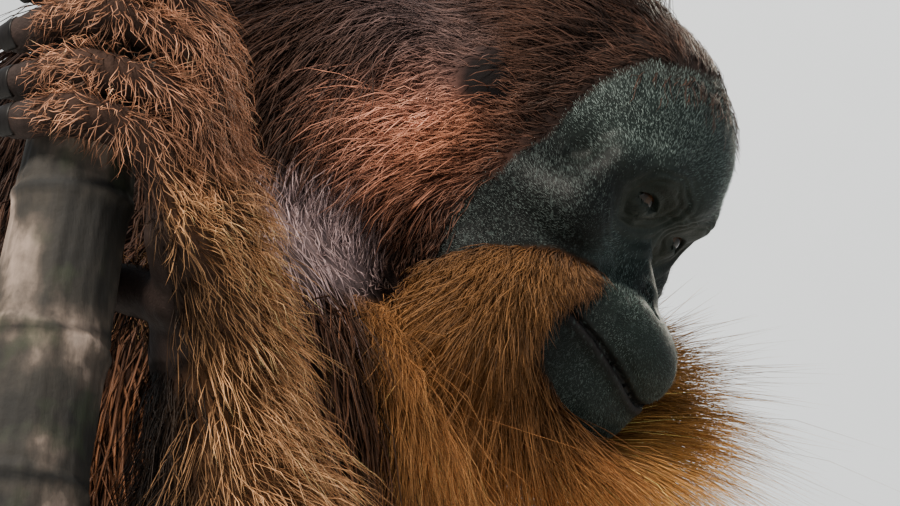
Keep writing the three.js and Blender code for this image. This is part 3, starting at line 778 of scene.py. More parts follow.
def coat_map(points, normals):
    """What grows at each place of the skin."""
    shares = part_shares(points)
    ways = np.array([COAT[name][0] if COAT[name][0] is not None else (0, 0, 0) for name in PART_NAMES])
    numbers = np.array([COAT[name][1:5] for name in PART_NAMES])
    roots = np.array([COAT[name][5][0] for name in PART_NAMES])
    tips = np.array([COAT[name][5][1] for name in PART_NAMES])
    way = shares @ ways
    length, width, lift, growth = (shares @ numbers).T
    root, tip = shares @ roots, shares @ tips
    low_hand = share_of(shares, "hand_right") * (1 - smooth_step(points[:, 2], 560, 600))
    sunlit = share_of(shares, "forearm_right") + low_hand
    lit = smooth_step(normals @ vec(0.98, -0.05, 0.15), -0.35, 0.30)
    lift = lift + sunlit * 0.55 * lit
    hand = share_of(shares, "hand_right")
    fingers = hand * (1 - smooth_step(points[:, 0], *KNUCKLE_SPAN))
    under = hand * (1 - smooth_step(normals[:, 2], -0.60, 0.05))
    way += fingers[:, None] * (FINGER_WAY - way)
    length = length * (1 - 0.5 * fingers)
    growth = growth * (1 - 0.5 * under)
    head = share_of(shares, "head")
    neck = share_of(shares, "neck")
    near_head = 1 - smooth_step(np.linalg.norm(points - face(-30, 0, -60), axis=1), 112, 145)
    hair, beard, muzzle = head_zones(points)
    turn, height = head_angles(points)
    forwards = 1 - smooth_step(turn - 0.9 * np.clip(-height - 40, 0, 30), 114, 124)
    gold = smooth_step(beard, 0, 4) * smooth_step(muzzle, -5, 9) * near_head * forwards
    crown = smooth_step(hair, 0, 5) * np.maximum(head, near_head * (turn < 100)) * (1 - gold)
    crown = np.maximum(crown, smooth_step(turn, 96, 104) * near_head * forwards * (1 - gold))
    bare_face = np.clip(near_head * forwards - crown - gold, 0, 1)
    from_bare = np.minimum(np.linalg.norm(points - BARE_NECK, axis=1),
                           np.linalg.norm(points - BARE_NECK - NECK_MIRROR, axis=1))
    bare_neck = np.maximum(head * (1 - forwards) * (1 - crown), 1 - smooth_step(from_bare, 30, 50))
    # Crown: back from the hair line, then down behind the temples
    low = 1 - smooth_step(height, -30, 25)
    patch = bump(from_face_point(points, TEMPLE_PATCH), 0, 26) * (head + neck) * (1 - gold)
    down = 0.25 + 1.0 * low * (1 - 0.6 * patch)
    front = 1 - smooth_step(turn, 20, 65)
    crown_way = (-FACE_FORWARD * (1 - 0.35 * low)[:, None] - UP * (down * (1 - front))[:, None]
                 + FACE_UP * front[:, None])
    # Beard: out from the face, back over the cheeks and forwards under the chin, and down
    side_on = smooth_step(turn, 25, 70)
    far = smooth_step((points - NASION) @ FACE_LEFT, 5, 25)
    gold_way = (0.55 * unit(points - face(*CHEEK_POINT)) - 1.0 * UP
                + FACE_FORWARD * (0.45 - 1.0 * side_on)[:, None])
    gold_way += far[:, None] * (FRINGE_WAY - gold_way)
    other = np.clip(1 - crown - gold, 0, 1)
    way = way * other[:, None] + crown_way * crown[:, None] + gold_way * gold[:, None]
    way += np.clip(1.4 * patch, 0, 1)[:, None] * (PATCH_WAY - way)
    crown_length = 12 + 32 * smooth_step(hair, 0, 40)
    gold_length = 17 + (60 + 18 * far) * smooth_step(beard, 2, 34) * smooth_step(muzzle, 0, 22 - 14 * far)
    length = length * other + crown_length * crown + gold_length * gold
    width = (width * (1 - gold) + 0.42 * gold) * (1 - 0.4 * bare_neck)
    lift = lift * other + (0.14 + 0.24 * smooth_step(hair, 5, 40)) * crown
    lift += 0.42 * gold + 0.25 * patch
    fullness = 0.2 + 0.8 * smooth_step(muzzle, 0, 20 - 12 * far)
    growth = growth * (1 - gold) + 3.2 * gold * fullness + 1.5 * patch
    growth *= 1 + 2.5 * far * gold * (1 - smooth_step(muzzle, 14, 44))
    ear = from_face_point(points, EAR_HOLLOW)
    hollow = 1 - smooth_step(ear, 10, 22)
    length *= 0.35 + 0.65 * smooth_step(ear, 22, 52)
    length *= 1 - 0.78 * bump(from_bare, 0, 62) * (1 - gold)
    growth *= (1 - bare_face) * (1 + 0.6 * bare_neck) * (1 - 0.9 * hollow)
    growth *= 1 - hairless(points, normals, shares)
    belly = shares[:, 0] * smooth_step(points[:, 0], -80, 20) * (points[:, 2] < 520)
    growth *= 1 - 0.45 * belly
    sunny = 0.58 + 1.65 * (1 - smooth_step(height, -66, -38))
    # Painted backlight: the far side of the beard is brighter and yellower, as if lit through from behind
    backlit_glow = far[:, None] * (np.array([1.7, 1.75, 1.3]) - 1) + 1
    for target, source in ((root, 0), (tip, 1)):
        # Temple patch: orange hair, made brighter still as painted sunlight
        target += patch[:, None] * (np.array(TEMPLE_ORANGE_AND_SUN[source]) - target)
        target += gold[:, None] * (np.array(GOLD[source]) * sunny[:, None] * backlit_glow - target)
        shade, sun = np.array(ARM_SHADE[source]), np.array(ARM_SUN[source])
        target += sunlit[:, None] * (shade + (sun - shade) * lit[:, None] - target)
        # Painted shade: hair on the downward-facing side of the right hand is darkened
        target *= 1 - 0.75 * under[:, None]
        target += (0.8 * bare_neck)[:, None] * (np.array(NECK_HAIR[source]) - target)
    return {
        "part": shares.argmax(axis=1), "way": way, "length": length, "width": width, "lift": lift,
        "growth": growth, "root": root, "tip": tip, "gold": gold, "face": bare_face,
        "neck": bare_neck, "hollow": hollow,
    }


# Coat pieces: how many locks and rings, then how they droop, hug the body, wave, gather and stray
TRUNK_SPLIT, GOLDEN = 430, 0.4
BODY_RULE = (3, 0.15, 0.50, 2.2, 0.50, 0.22)
TRUNK_RULE = (3, 0.15, 0.60, 2.5, 0.50, 0.22)
COAT_PIECES = {
    "coat_head": (11000, 3, 0.10, 0.70, 1.6, 0.35, 0.30),
    "coat_beard_right_upper": (10500, 3, 0.22, 0.35, 2.4, 0.30, 0.36),
    "coat_beard_right_lower": (10000, 3, 0.22, 0.30, 2.8, 0.30, 0.36),
    "coat_beard_left": (8500, 3, 0.17, 0.05, 2.8, 0.30, 0.36),
    "coat_neck": (9500, 3, 0.12, 0.60, 2.2, 0.40, 0.28),
    "coat_trunk_upper": (5500, *TRUNK_RULE),
    "coat_trunk_lower": (5000, *TRUNK_RULE),
    "coat_arm_right": (2800, 3, 0.15, 0.50, 2.5, 0.50, 0.22),
    "coat_forearm_right": (11600, 3, 0.16, 0.20, 2.8, 0.35, 0.40),
    "coat_arm_left": (4400, *BODY_RULE),
    "coat_leg_right": (3700, *BODY_RULE),
    "coat_leg_left": (3700, *BODY_RULE),
}
FACE_BRISTLES = 28000
BEARD_SPLIT = -40.0
LOCKS_PER_CLUMP = 9
ROOT_DEPTH = 1.0
BAKE_PATCH = 0.003


def piece_numbers(places, grown):
    """The coat piece of each place, as a position in COAT_PIECES."""
    names = list(COAT_PIECES)
    by_part = {
        "head": "coat_head", "neck": "coat_neck", "trunk": "coat_trunk_lower",
        "upper_arm_right": "coat_arm_right", "forearm_right": "coat_forearm_right",
        "hand_right": "coat_forearm_right", "upper_arm_left": "coat_arm_left",
        "forearm_left": "coat_arm_left", "hand_left": "coat_arm_left",
    }
    for side in ("right", "left"):
        for part in ("thigh_", "shank_", "foot_"):
            by_part[part + side] = "coat_leg_" + side
    number = np.array([names.index(by_part[name]) for name in PART_NAMES])[grown["part"]]
    upper = (number == names.index("coat_trunk_lower")) & (places[:, 2] > TRUNK_SPLIT)
    number[upper] = names.index("coat_trunk_upper")
    left = (places - NASION) @ FACE_LEFT
    golden = grown["gold"] > GOLDEN
    right = golden & (left < 0)
    low = head_angles(places)[1] < BEARD_SPLIT
    number[right] = names.index("coat_beard_right_upper")
    number[right & low] = names.index("coat_beard_right_lower")
    number[golden & (left >= 0)] = names.index("coat_beard_left")
    return number


def skin_triangles(mesh):
    mesh.calc_loop_triangles()
    corners = np.empty(len(mesh.loop_triangles) * 3, dtype=np.int32)
    mesh.loop_triangles.foreach_get("vertices", corners)
    normals = np.empty(len(mesh.vertices) * 3, dtype=np.float32)
    mesh.vertices.foreach_get("normal", normals)
    return mesh_points(mesh), normals.reshape(-1, 3).astype(float), corners.reshape(-1, 3)


def scatter(weights, corners, points, normals, count):
    """Random places on the triangles, in proportion to their weights."""
    chosen = RNG.choice(len(weights), size=count, p=weights / weights.sum())
    a, b = RNG.random((2, count))
    over = a + b > 1
    a[over], b[over] = 1 - a[over], 1 - b[over]
    share = np.stack([1 - a - b, a, b], axis=1)[:, :, None]
    triangle = corners[chosen]
    return chosen, (points[triangle] * share).sum(axis=1), unit((normals[triangle] * share).sum(axis=1))


def grow_paths(root, normal, way, length, lift, steps, droop, hug, stray):
    """Points along each lock, from just under the skin to the tip."""
    count = len(root)
    flat = unit(way - (way * normal).sum(axis=1)[:, None] * normal)
    across = np.cross(normal, flat)
    flat = unit(flat + stray * RNG.standard_normal((count, 1)) * across)
    rise = (lift * np.exp(0.35 * RNG.standard_normal(count))).clip(0, 1.2)[:, None]
    direction = flat * np.cos(rise) + normal * np.sin(rise)
    path = [root - normal * ROOT_DEPTH]
    for step in range(steps):
        place = path[-1] + direction * (length / steps)[:, None]
        outwards = unit(gradient(place, near_distance, 3.0) + 1e-6)
        short = np.clip(1.2 + 0.6 * step - near_distance(place), 0, 12)
        place = place + outwards * short[:, None]
        place[:, 2] = np.maximum(place[:, 2], BASE_TOP + 1.5)
        path.append(place)
        direction = direction - hug * (direction * outwards).sum(axis=1)[:, None] * outwards
        direction = unit(direction - droop * UP)
    return np.stack(path, axis=1)


def gathered(path, strength, curl):
    """Locks drawn towards their clump's middle lock, and waved."""
    count, rings = path.shape[:2]
    middles = RNG.choice(count, size=max(count // LOCKS_PER_CLUMP, 1), replace=False)
    tree = KDTree(len(middles))
    for index, middle in enumerate(middles):
        tree.insert(path[middle, 0], index)
    tree.balance()
    clump = np.array([tree.find(start)[1] for start in path[:, 0]])
    along = np.linspace(0, 1, rings)
    pull = (strength * RNG.uniform(0.3, 1.0, count))[:, None] * along ** 1.5
    shift = path[middles[clump]] - path
    near = np.linalg.norm(shift, axis=2).max(axis=1) < 30
    path = path + shift * (pull * near[:, None])[:, :, None]
    phase = RNG.uniform(0, 2 * np.pi, len(middles))[clump] + RNG.normal(0, 0.9, count)
    turn = RNG.uniform(2.5, 6.5, len(middles))[clump]
    heading = unit(path[:, -1] - path[:, 0])
    side = unit(np.cross(heading, vec(0.3, 0.5, 0.8)))
    over = np.cross(side, heading)
    angle = phase[:, None] + turn[:, None] * along
    size = (curl * RNG.uniform(0.4, 1.4, count))[:, None] * along
    path = path + side[:, None] * (size * np.cos(angle))[:, :, None]
    path = path + over[:, None] * (size * np.sin(angle))[:, :, None]
    return path, clump


def lock_mesh(path, normal, width):
    """Closed, flattened three-sided locks that taper to a point."""
    count, places = path.shape[:2]
    rings = places - 1
    along = np.gradient(path, axis=1)
    along = unit(along)
    side = unit(np.cross(along, normal[:, None]))
    over = np.cross(side, along)
    taper = 1 - 0.55 * (np.arange(rings) / rings) ** 1.6
    half = (width[:, None] * taper / 2)[:, :, None]
    body = path[:, :rings]
    ring = np.stack([body - side[:, :rings] * half, body + side[:, :rings] * half,
                     body - over[:, :rings] * half * 0.9], axis=2)
    points = np.concatenate([ring.reshape(count, -1, 3), path[:, -1:]], axis=1)
    tip = 3 * rings
    faces = [(2, 1, 0)]
    for level in range(rings - 1):
        for corner in range(3):
            a, b = 3 * level + corner, 3 * level + (corner + 1) % 3
            faces += [(a, b, b + 3), (a, b + 3, a + 3)]
    last = tip - 3
    faces += [(last, last + 1, tip), (last + 1, last + 2, tip), (last + 2, last, tip)]
    faces = np.array(faces)
    per_lock = tip + 1
    corners = (faces[None] + per_lock * np.arange(count)[:, None, None]).reshape(-1, 3)
    level_of = np.append(np.repeat(np.arange(rings), 3), rings) / rings
    corner_of = np.append(np.tile(np.arange(3), rings), 1) / 2
    return points.reshape(-1, 3), corners, level_of, corner_of


UNWRAP_AXES = {
    "trunk": (vec(-120, 42, 80), vec(-100, 45, 700)), "neck": (vec(-130, 46, 600), vec(60, 40, 640)),
    "head": (face(-60, 0, -120), face(-60, 0, 90)),
    "hand_right": (stem_point(520), stem_point(700)),
    "hand_left": (ARMS["left"][-1][0], LEFT_KNUCKLE + LEFT_ALONG * 90),
    "foot_right": (FEET["right"][0], FEET["right"][0] + FEET["right"][1] * 220),
    "foot_left": (FEET["left"][0], FEET["left"][0] + FEET["left"][1] * 220),
}
for side_name in ("right", "left"):
    UNWRAP_AXES["upper_arm_" + side_name] = (ARMS[side_name][0][0], ARMS[side_name][2][0])
    UNWRAP_AXES["forearm_" + side_name] = (ARMS[side_name][2][0], ARMS[side_name][5][0])
    UNWRAP_AXES["thigh_" + side_name] = (LEGS[side_name][0][0], LEGS[side_name][2][0])
    UNWRAP_AXES["shank_" + side_name] = (LEGS[side_name][2][0], LEGS[side_name][4][0])


def unwrapped(points, part):
    """Each part's skin rolled out round the part's own axis, side by side in one square."""
    present = np.unique(part)
    place = np.zeros((len(points), 2))
    for column, index in enumerate(present):
        mine = part == index
        start, end = UNWRAP_AXES[PART_NAMES[index]]
        axis = unit(end - start)
        first = unit(np.cross(axis, vec(0.31, 0.87, 0.11)))
        second = np.cross(axis, first)
        local = points[mine] - start
        turn = np.arctan2(local @ second, local @ first) / (2 * np.pi) + 0.5
        height = np.clip((local @ axis) / np.linalg.norm(end - start), -0.6, 1.6)
        place[mine, 0] = (column + 0.01 + 0.98 * turn) / len(present)
        place[mine, 1] = 0.01 + 0.98 * (height + 0.6) / 2.2
    return place


def add_lock_map(mesh, root_place, level_of, corner_of, corners):
    """The OFBake map: each lock is a small patch at its root's place."""
    layer = mesh.uv_layers.new(name="OFBake")
    patch = np.stack([corner_of, level_of], axis=1) * BAKE_PATCH
    spots = (root_place[:, None] + patch[None]).reshape(-1, 2)
    layer.data.foreach_set("uv", spots[corners].astype(np.float32).ravel())


def make_locks(name, slot, roots, normals, way, length, width, lift, shades, part, rule):
    steps, droop, hug, curl, gather, stray = rule
    path = grow_paths(roots, normals, way, length, lift, steps, droop, hug, stray)
    clump = np.zeros(len(roots), dtype=int)
    if gather:
        path, clump = gathered(path, gather, curl)
    points, corners, level_of, corner_of = lock_mesh(path, normals, width)
    piece = new_piece(name, points, corners, slot)
    clump_tone = np.exp(0.16 * RNG.standard_normal(clump.max() + 1))[clump]
    tone = clump_tone * np.exp(0.24 * RNG.standard_normal(len(roots)))
    blend = (level_of ** 1.3)[None, :, None]
    dark, light = shades
    colour = (dark[:, None] * (1 - blend) + light[:, None] * blend) * tone[:, None, None]
    add_colours(piece.data, "coat", np.clip(colour, 0, 1).reshape(-1, 3))
    add_lock_map(piece.data, unwrapped(roots, part), level_of, corner_of, corners)
    return piece


def make_coat(skin):
    points, normals, corners = skin_triangles(skin.data)
    edges = points[corners]
    area = np.linalg.norm(np.cross(edges[:, 1] - edges[:, 0], edges[:, 2] - edges[:, 0]), axis=1) / 2
    places = edges.mean(axis=1)
    facing = unit(normals[corners].mean(axis=1))
    grown = coat_map(places, facing)
    numbers = piece_numbers(places, grown)
    pieces = []
    for index, (name, (count, *rule)) in enumerate(COAT_PIECES.items()):
        weights = area * grown["growth"] * (numbers == index)
        chosen, roots, root_normals = scatter(weights, corners, points, normals, count)
        vary = np.exp(0.18 * RNG.standard_normal(count))
        length = grown["length"][chosen] * vary
        width = grown["width"][chosen] * RNG.uniform(0.7, 1.3, count)
        slot = "gold_coat" if name.startswith("coat_beard") else "red_coat"
        shades = grown["root"][chosen], grown["tip"][chosen]
        pieces.append(make_locks(name, slot, roots, root_normals, grown["way"][chosen], length, width,
                                 grown["lift"][chosen], shades, grown["part"][chosen], rule))
    pieces.append(make_bristles(points, normals, corners, places, area, grown))
    return pieces


def make_bristles(points, normals, corners, places, area, grown):
    """Short pale bristles of the face: thick at the temples, thin round the eyes and nose."""
    local = on_face(places)
    side, up = np.abs(local[:, 1]), local[:, 2]
    eye = np.hypot((side - EYE_AT[1]) / 1.3, up - EYE_AT[2] + 4)
    bridge = bump(side, 0, 14) * smooth_step(up, -52, -40) * (1 - smooth_step(up, 10, 40))
    thick = smooth_step(eye, 14, 34) * (1 - 0.9 * bridge) * (1 - 0.6 * bump(np.hypot(side, up + 50), 0, 14))
    lip = 1 - np.clip(1.4 * bump(up, mouth_height(side), 5), 0, 1) * (local[:, 0] > -20)
    weights = area * grown["face"] * thick * lip
    _, roots, root_normals = scatter(weights, corners, points, normals, FACE_BRISTLES)
    local = on_face(roots)
    low = 1 - smooth_step(local[:, 2], -50, -20)
    upper_way = 0.7 * FACE_UP - 1.0 * FACE_FORWARD
    lower_way = unit(roots - face(20, 0, -40))
    way = upper_way * (1 - low)[:, None] + lower_way * low[:, None]
    count = len(roots)
    length = RNG.uniform(1.5, 2.6, count) * (1 - 0.2 * low)
    width = RNG.uniform(0.24, 0.36, count)
    lift = np.full(count, 0.4)
    shaded = smooth_step(np.abs(local[:, 1]), 28, 46) * (1 - smooth_step(local[:, 2], -8, 22))
    shades = [np.array(tone) * (1 - 0.6 * shaded[:, None]) for tone in BRISTLE]
    part = np.full(count, PART_NAMES.index("head"))
    return make_locks("coat_face", "red_coat", roots, root_normals, way, length, width, lift, shades, part,
                      (1, 0.0, 0.5, 0.0, 0.0, 0.25))


# Skin markings and painted shade: the same zones as the coat, as a colour at each point
SLATE = vec(0.011, 0.0165, 0.0145)
MUZZLE_TONE = vec(0.0085, 0.0135, 0.0100)
LID_TONE = vec(0.018, 0.021, 0.016)
LIP_AND_SHADE_TONE = vec(0.011, 0.009, 0.009)
NECK_TONE = vec(0.105, 0.071, 0.074)
HAND_TONE = vec(0.032, 0.021, 0.018)
BODY_TONE = vec(0.050, 0.032, 0.028)
EAR_SKIN_AND_SHADE = vec(0.005, 0.003, 0.003)
NOSTRIL_SIDE, NOSTRIL_UP, NOSTRIL_SHADE = 9.0, -40.0, 6.0


def mark_and_shade_skin(skin):
    points, normals, _ = skin_triangles(skin.data)
    grown = coat_map(points, normals)
    local = on_face(points)
    side, up = np.abs(local[:, 1]), local[:, 2]
    colour = BODY_TONE + np.zeros_like(points)

    def lay(tone, share):
        colour[:] += (tone - colour) * np.clip(share, 0, 1)[:, None]

    covered = smooth_step(grown["growth"], 0.1, 1.0)
    lay(grown["root"] * 0.9, covered * 0.85)
    lay(NECK_TONE, grown["neck"] * (1 - covered))
    limbs = np.isin(grown["part"], [PART_NAMES.index(f"{part}_{side}") for part in ("hand", "foot")
                                    for side in ("right", "left")])
    lay(HAND_TONE, limbs * (1 - 0.5 * covered))
    lay(SLATE, grown["face"])
    # Painted shade: the sides of the face below the brow are darker
    lay(SLATE * 0.2, grown["face"] * smooth_step(side, 30, 48) * (1 - smooth_step(up, -8, 22)))
    lay(MUZZLE_TONE, grown["face"] * bump(np.hypot(side, up + 66), 0, 34))
    eye = np.hypot((side - EYE_AT[1]) / 1.35, up - EYE_AT[2])
    lay(LID_TONE, grown["face"] * bump(eye, 9, 7) * 0.7)
    lips = grown["face"] * (local[:, 0] > -16) * (side < 52)
    lay(LIP_AND_SHADE_TONE, lips * bump(up, mouth_height(side) - 2.0, 3.4))
    # Painted shade: a darker line in the groove of the mouth
    lay(LIP_AND_SHADE_TONE * 0.3, lips * bump(up, mouth_height(side), 1.5))
    # Painted shade: a dark patch over each nostril
    nostril = np.hypot(side - NOSTRIL_SIDE, up - NOSTRIL_UP)
    lay(LIP_AND_SHADE_TONE * 0.3, grown["face"] * bump(nostril, 0, NOSTRIL_SHADE))
    # Ear hollow: dark ear skin, darkened further as painted shade
    lay(EAR_SKIN_AND_SHADE, grown["hollow"])
    add_colours(skin.data, "marking_and_shade", colour)
    shine = np.clip(0.35 + 0.65 * grown["face"] + 0.4 * limbs - 0.6 * covered, 0, 1)
    add_colours(skin.data, "shine", shine[:, None] * np.ones(3))
    bristly = grown["face"] * smooth_step(eye, 12, 30) * (0.35 + 0.65 * smooth_step(side, 8, 30))
    add_colours(skin.data, "bristly", bristly[:, None] * np.ones(3))


def ring_faces(rows, turns):
    """Faces of a closed tube of rings, whose two end points follow after the rings."""
    index = np.arange(rows * turns).reshape(rows, turns)
    after = np.roll(index, -1, axis=1)
    low, high = rows * turns, rows * turns + 1
    return np.vstack([
        np.stack([index[:-1], after[:-1], after[1:]], axis=-1).reshape(-1, 3),
        np.stack([index[:-1], after[1:], index[1:]], axis=-1).reshape(-1, 3),
        np.stack([np.full(turns, low), after[0], index[0]], axis=-1),
        np.stack([np.full(turns, high), index[-1], after[-1]], axis=-1)])


# Eyes: a clear bulging front over a brown iris
IRIS_ANGLE, PUPIL_ANGLE = 30.0, 12.0
EYE_TURNS, EYE_RINGS = 48, 40


def make_eye(side_name, side):
    centre = face(EYE_AT[0], side * EYE_AT[1], EYE_AT[2])
    gaze = unit(FACE_FORWARD - 0.08 * FACE_UP - 0.10 * side * FACE_LEFT)
    first = unit(np.cross(gaze, FACE_UP))
    second = np.cross(gaze, first)
    polar = np.linspace(0, 180, EYE_RINGS + 1)[1:-1]
    turn = np.arange(EYE_TURNS) * 2 * np.pi / EYE_TURNS
    bulge = 0.6 * bump(polar, 0, 26)
    radius = (EYE_RADIUS + bulge)[:, None]
    tilt = np.radians(polar)[:, None]
    ring = (gaze * (radius * np.cos(tilt) + 0 * turn)[:, :, None]
            + first * (radius * np.sin(tilt) * np.cos(turn))[:, :, None]
            + second * (radius * np.sin(tilt) * np.sin(turn))[:, :, None])
    points = np.vstack([ring.reshape(-1, 3), gaze[None] * (EYE_RADIUS + 0.6), -gaze[None] * EYE_RADIUS])
    polar_of = np.concatenate([np.repeat(polar, EYE_TURNS), [0, 180]])
    turn_of = np.concatenate([np.tile(turn, len(polar)), [0, 0]])
    faces = ring_faces(len(polar), EYE_TURNS)[:, ::-1]
    eye = new_piece("eye_ball_" + side_name, centre + points, faces, "eye", ["eye_" + side_name])
    pupil = 1 - smooth_step(polar_of, PUPIL_ANGLE - 1, PUPIL_ANGLE + 1)
    iris = 1 - smooth_step(polar_of, IRIS_ANGLE - 3, IRIS_ANGLE + 1)
    spokes = 0.8 + 0.2 * np.sin(turn_of * 23) * np.sin(turn_of * 7 + 1)
    white = vec(0.014, 0.009, 0.007)
    brown = vec(0.042, 0.019, 0.008)
    colour = white + (brown * spokes[:, None] - white) * iris[:, None]
    colour = colour * (1 - 0.97 * pupil)[:, None]
    add_colours(eye.data, "iris", colour)
    return eye


# Nails: a curved plate on the back of each digit's tip
NAIL_ACROSS, NAIL_ALONG = 12, 14
NAIL_LENGTH, NAIL_TURN, NAIL_THICK = 9.0, 62.0, 0.9


def nail_points(path, radii, back):
    centres = curve_through(path, 13)
    heading = unit(centres[-1] - centres[-3])
    back = unit(back - (back @ heading) * heading)
    side = np.cross(heading, back)
    radius = radii[-1] + 0.35
    turn = np.radians(np.linspace(-NAIL_TURN, NAIL_TURN, NAIL_ACROSS + 1))[:, None]
    along = np.linspace(0, 1, NAIL_ALONG + 1)[None]
    shrink = np.sqrt(np.clip(1 - (np.clip(along - 0.72, 0, 1) / 0.34) ** 2, 0.03, 1))
    start = centres[-1] + heading * (radius * 0.55 - NAIL_LENGTH * 0.62)
    low = 1 - 0.10 * along ** 2
    layers = []
    for lift in (NAIL_THICK * 0.6, -NAIL_THICK * 0.6):
        reach = (radius + lift) * low
        point = (start + heading * (NAIL_LENGTH * along + 0 * turn)[:, :, None]
                 + side * (reach * np.sin(turn * shrink))[:, :, None]
                 + back * (reach * np.cos(turn * shrink))[:, :, None])
        layers.append(point.reshape(-1, 3))
    return np.vstack(layers)


def plate_faces(across, along):
    """A closed plate from two equal grids of points, one over the other."""
    size = (across + 1) * (along + 1)
    index = np.arange(size).reshape(across + 1, along + 1)
    upper = np.stack([index[:-1, :-1], index[1:, :-1], index[1:, 1:], index[:-1, 1:]], axis=-1).reshape(-1, 4)
    lower = upper[:, ::-1] + size
    rim = np.concatenate([index[:, 0], index[-1, 1:], index[-2::-1, -1], index[0, -2:0:-1]])
    after = np.roll(rim, -1)
    wall = np.stack([rim, rim + size, after + size, after], axis=-1)
    return np.vstack([upper, lower, wall])


def digit_back(name, path):
    tip = np.asarray(path[-1])
    if name.startswith("right"):
        return (tip - stem_point(tip[2])) * vec(1, 1, 0)
    if name.startswith("left"):
        return vec(0.8, -0.1, 0.2)
    side = name.split("_")[1]
    return FEET[side][1] + 0.2 * UP


def make_nails():
    faces = plate_faces(NAIL_ACROSS, NAIL_ALONG)
    groups = {"nails_right": [], "nails_left": [], "nails_feet": []}
    for name, (path, radii) in DIGITS.items():
        group = "nails_feet" if name.startswith("toe_") else "nails_" + name.split("_")[0]
        groups[group].append(nail_points(path, radii, digit_back(name, path)))
    pieces = []
    for name, plates in groups.items():
        size = len(plates[0])
        every = np.vstack([faces + size * index for index in range(len(plates))])
        pieces.append(new_piece(name, np.vstack(plates), every, "nail"))
    return pieces


# Stem: a straight cut length with swollen ring scars and slightly narrowed cut ends
STEM_TURNS, STEM_STEPS = 96, 300
SCAR_RISE, SCAR_REACH = 1.3, 14.0


def ring_tube(start, end, radius_at, turns, steps):
    """A closed tube along a straight line; radius_at gives the radius from angle and share of length."""
    axis = unit(end - start)
    first = unit(np.cross(axis, vec(0.2, 1, 0)))
    second = np.cross(axis, first)
    turn = np.arange(turns) * 2 * np.pi / turns
    along = np.linspace(0, 1, steps)
    turn_grid, along_grid = np.meshgrid(turn, along)
    radius = radius_at(turn_grid, along_grid)
    ring = (start + (end - start) * along_grid[:, :, None]
            + first * (radius * np.cos(turn_grid))[:, :, None]
            + second * (radius * np.sin(turn_grid))[:, :, None])
    return np.vstack([ring.reshape(-1, 3), start[None], end[None]]), ring_faces(steps, turns)


def stem_radius(turn, share):
    height = STEM_BOTTOM + (STEM_TOP - STEM_BOTTOM) * share
    radius = np.interp(height, *STEM_RADII)
    for index, node in enumerate(STEM_NODES):
        slant = node + 2.5 * np.sin(turn + index * 1.9)
        gap = height - slant
        radius = radius + SCAR_RISE * bump(gap, 0, SCAR_REACH / 2) - 0.9 * bump(gap, 3.0, 1.2)
        radius = radius + 0.8 * bump(gap, -1.5, 1.6)
    radius = radius + 0.25 * np.sin(9 * turn + height * 0.02) + 0.2 * np.sin(23 * turn - height * 0.05)
    ends = np.minimum(height - STEM_BOTTOM, STEM_TOP - height)
    return radius - 1.5 * bump(ends, 0, 1.5)


def make_stem():
    tube = ring_tube(stem_point(STEM_BOTTOM), stem_point(STEM_TOP), stem_radius, STEM_TURNS, STEM_STEPS)
    return new_piece("cut_stem", *tube, "stem_bark", ["stem"])


ROD_RADIUS = 10.0


def rod_radius(turn, share):
    height = share * (STEM_BOTTOM - BASE_TOP)
    radius = np.interp(height, (0, 5, 7, 9, 1000), (17, 17, 15, ROD_RADIUS, ROD_RADIUS))
    return radius + 0 * turn


def make_rod():
    tube = ring_tube(stem_point(BASE_TOP + 0.4), stem_point(STEM_BOTTOM), rod_radius, 48, 140)
    return new_piece("steel_rod", *tube, "stand_rod", ["stand_rod"])


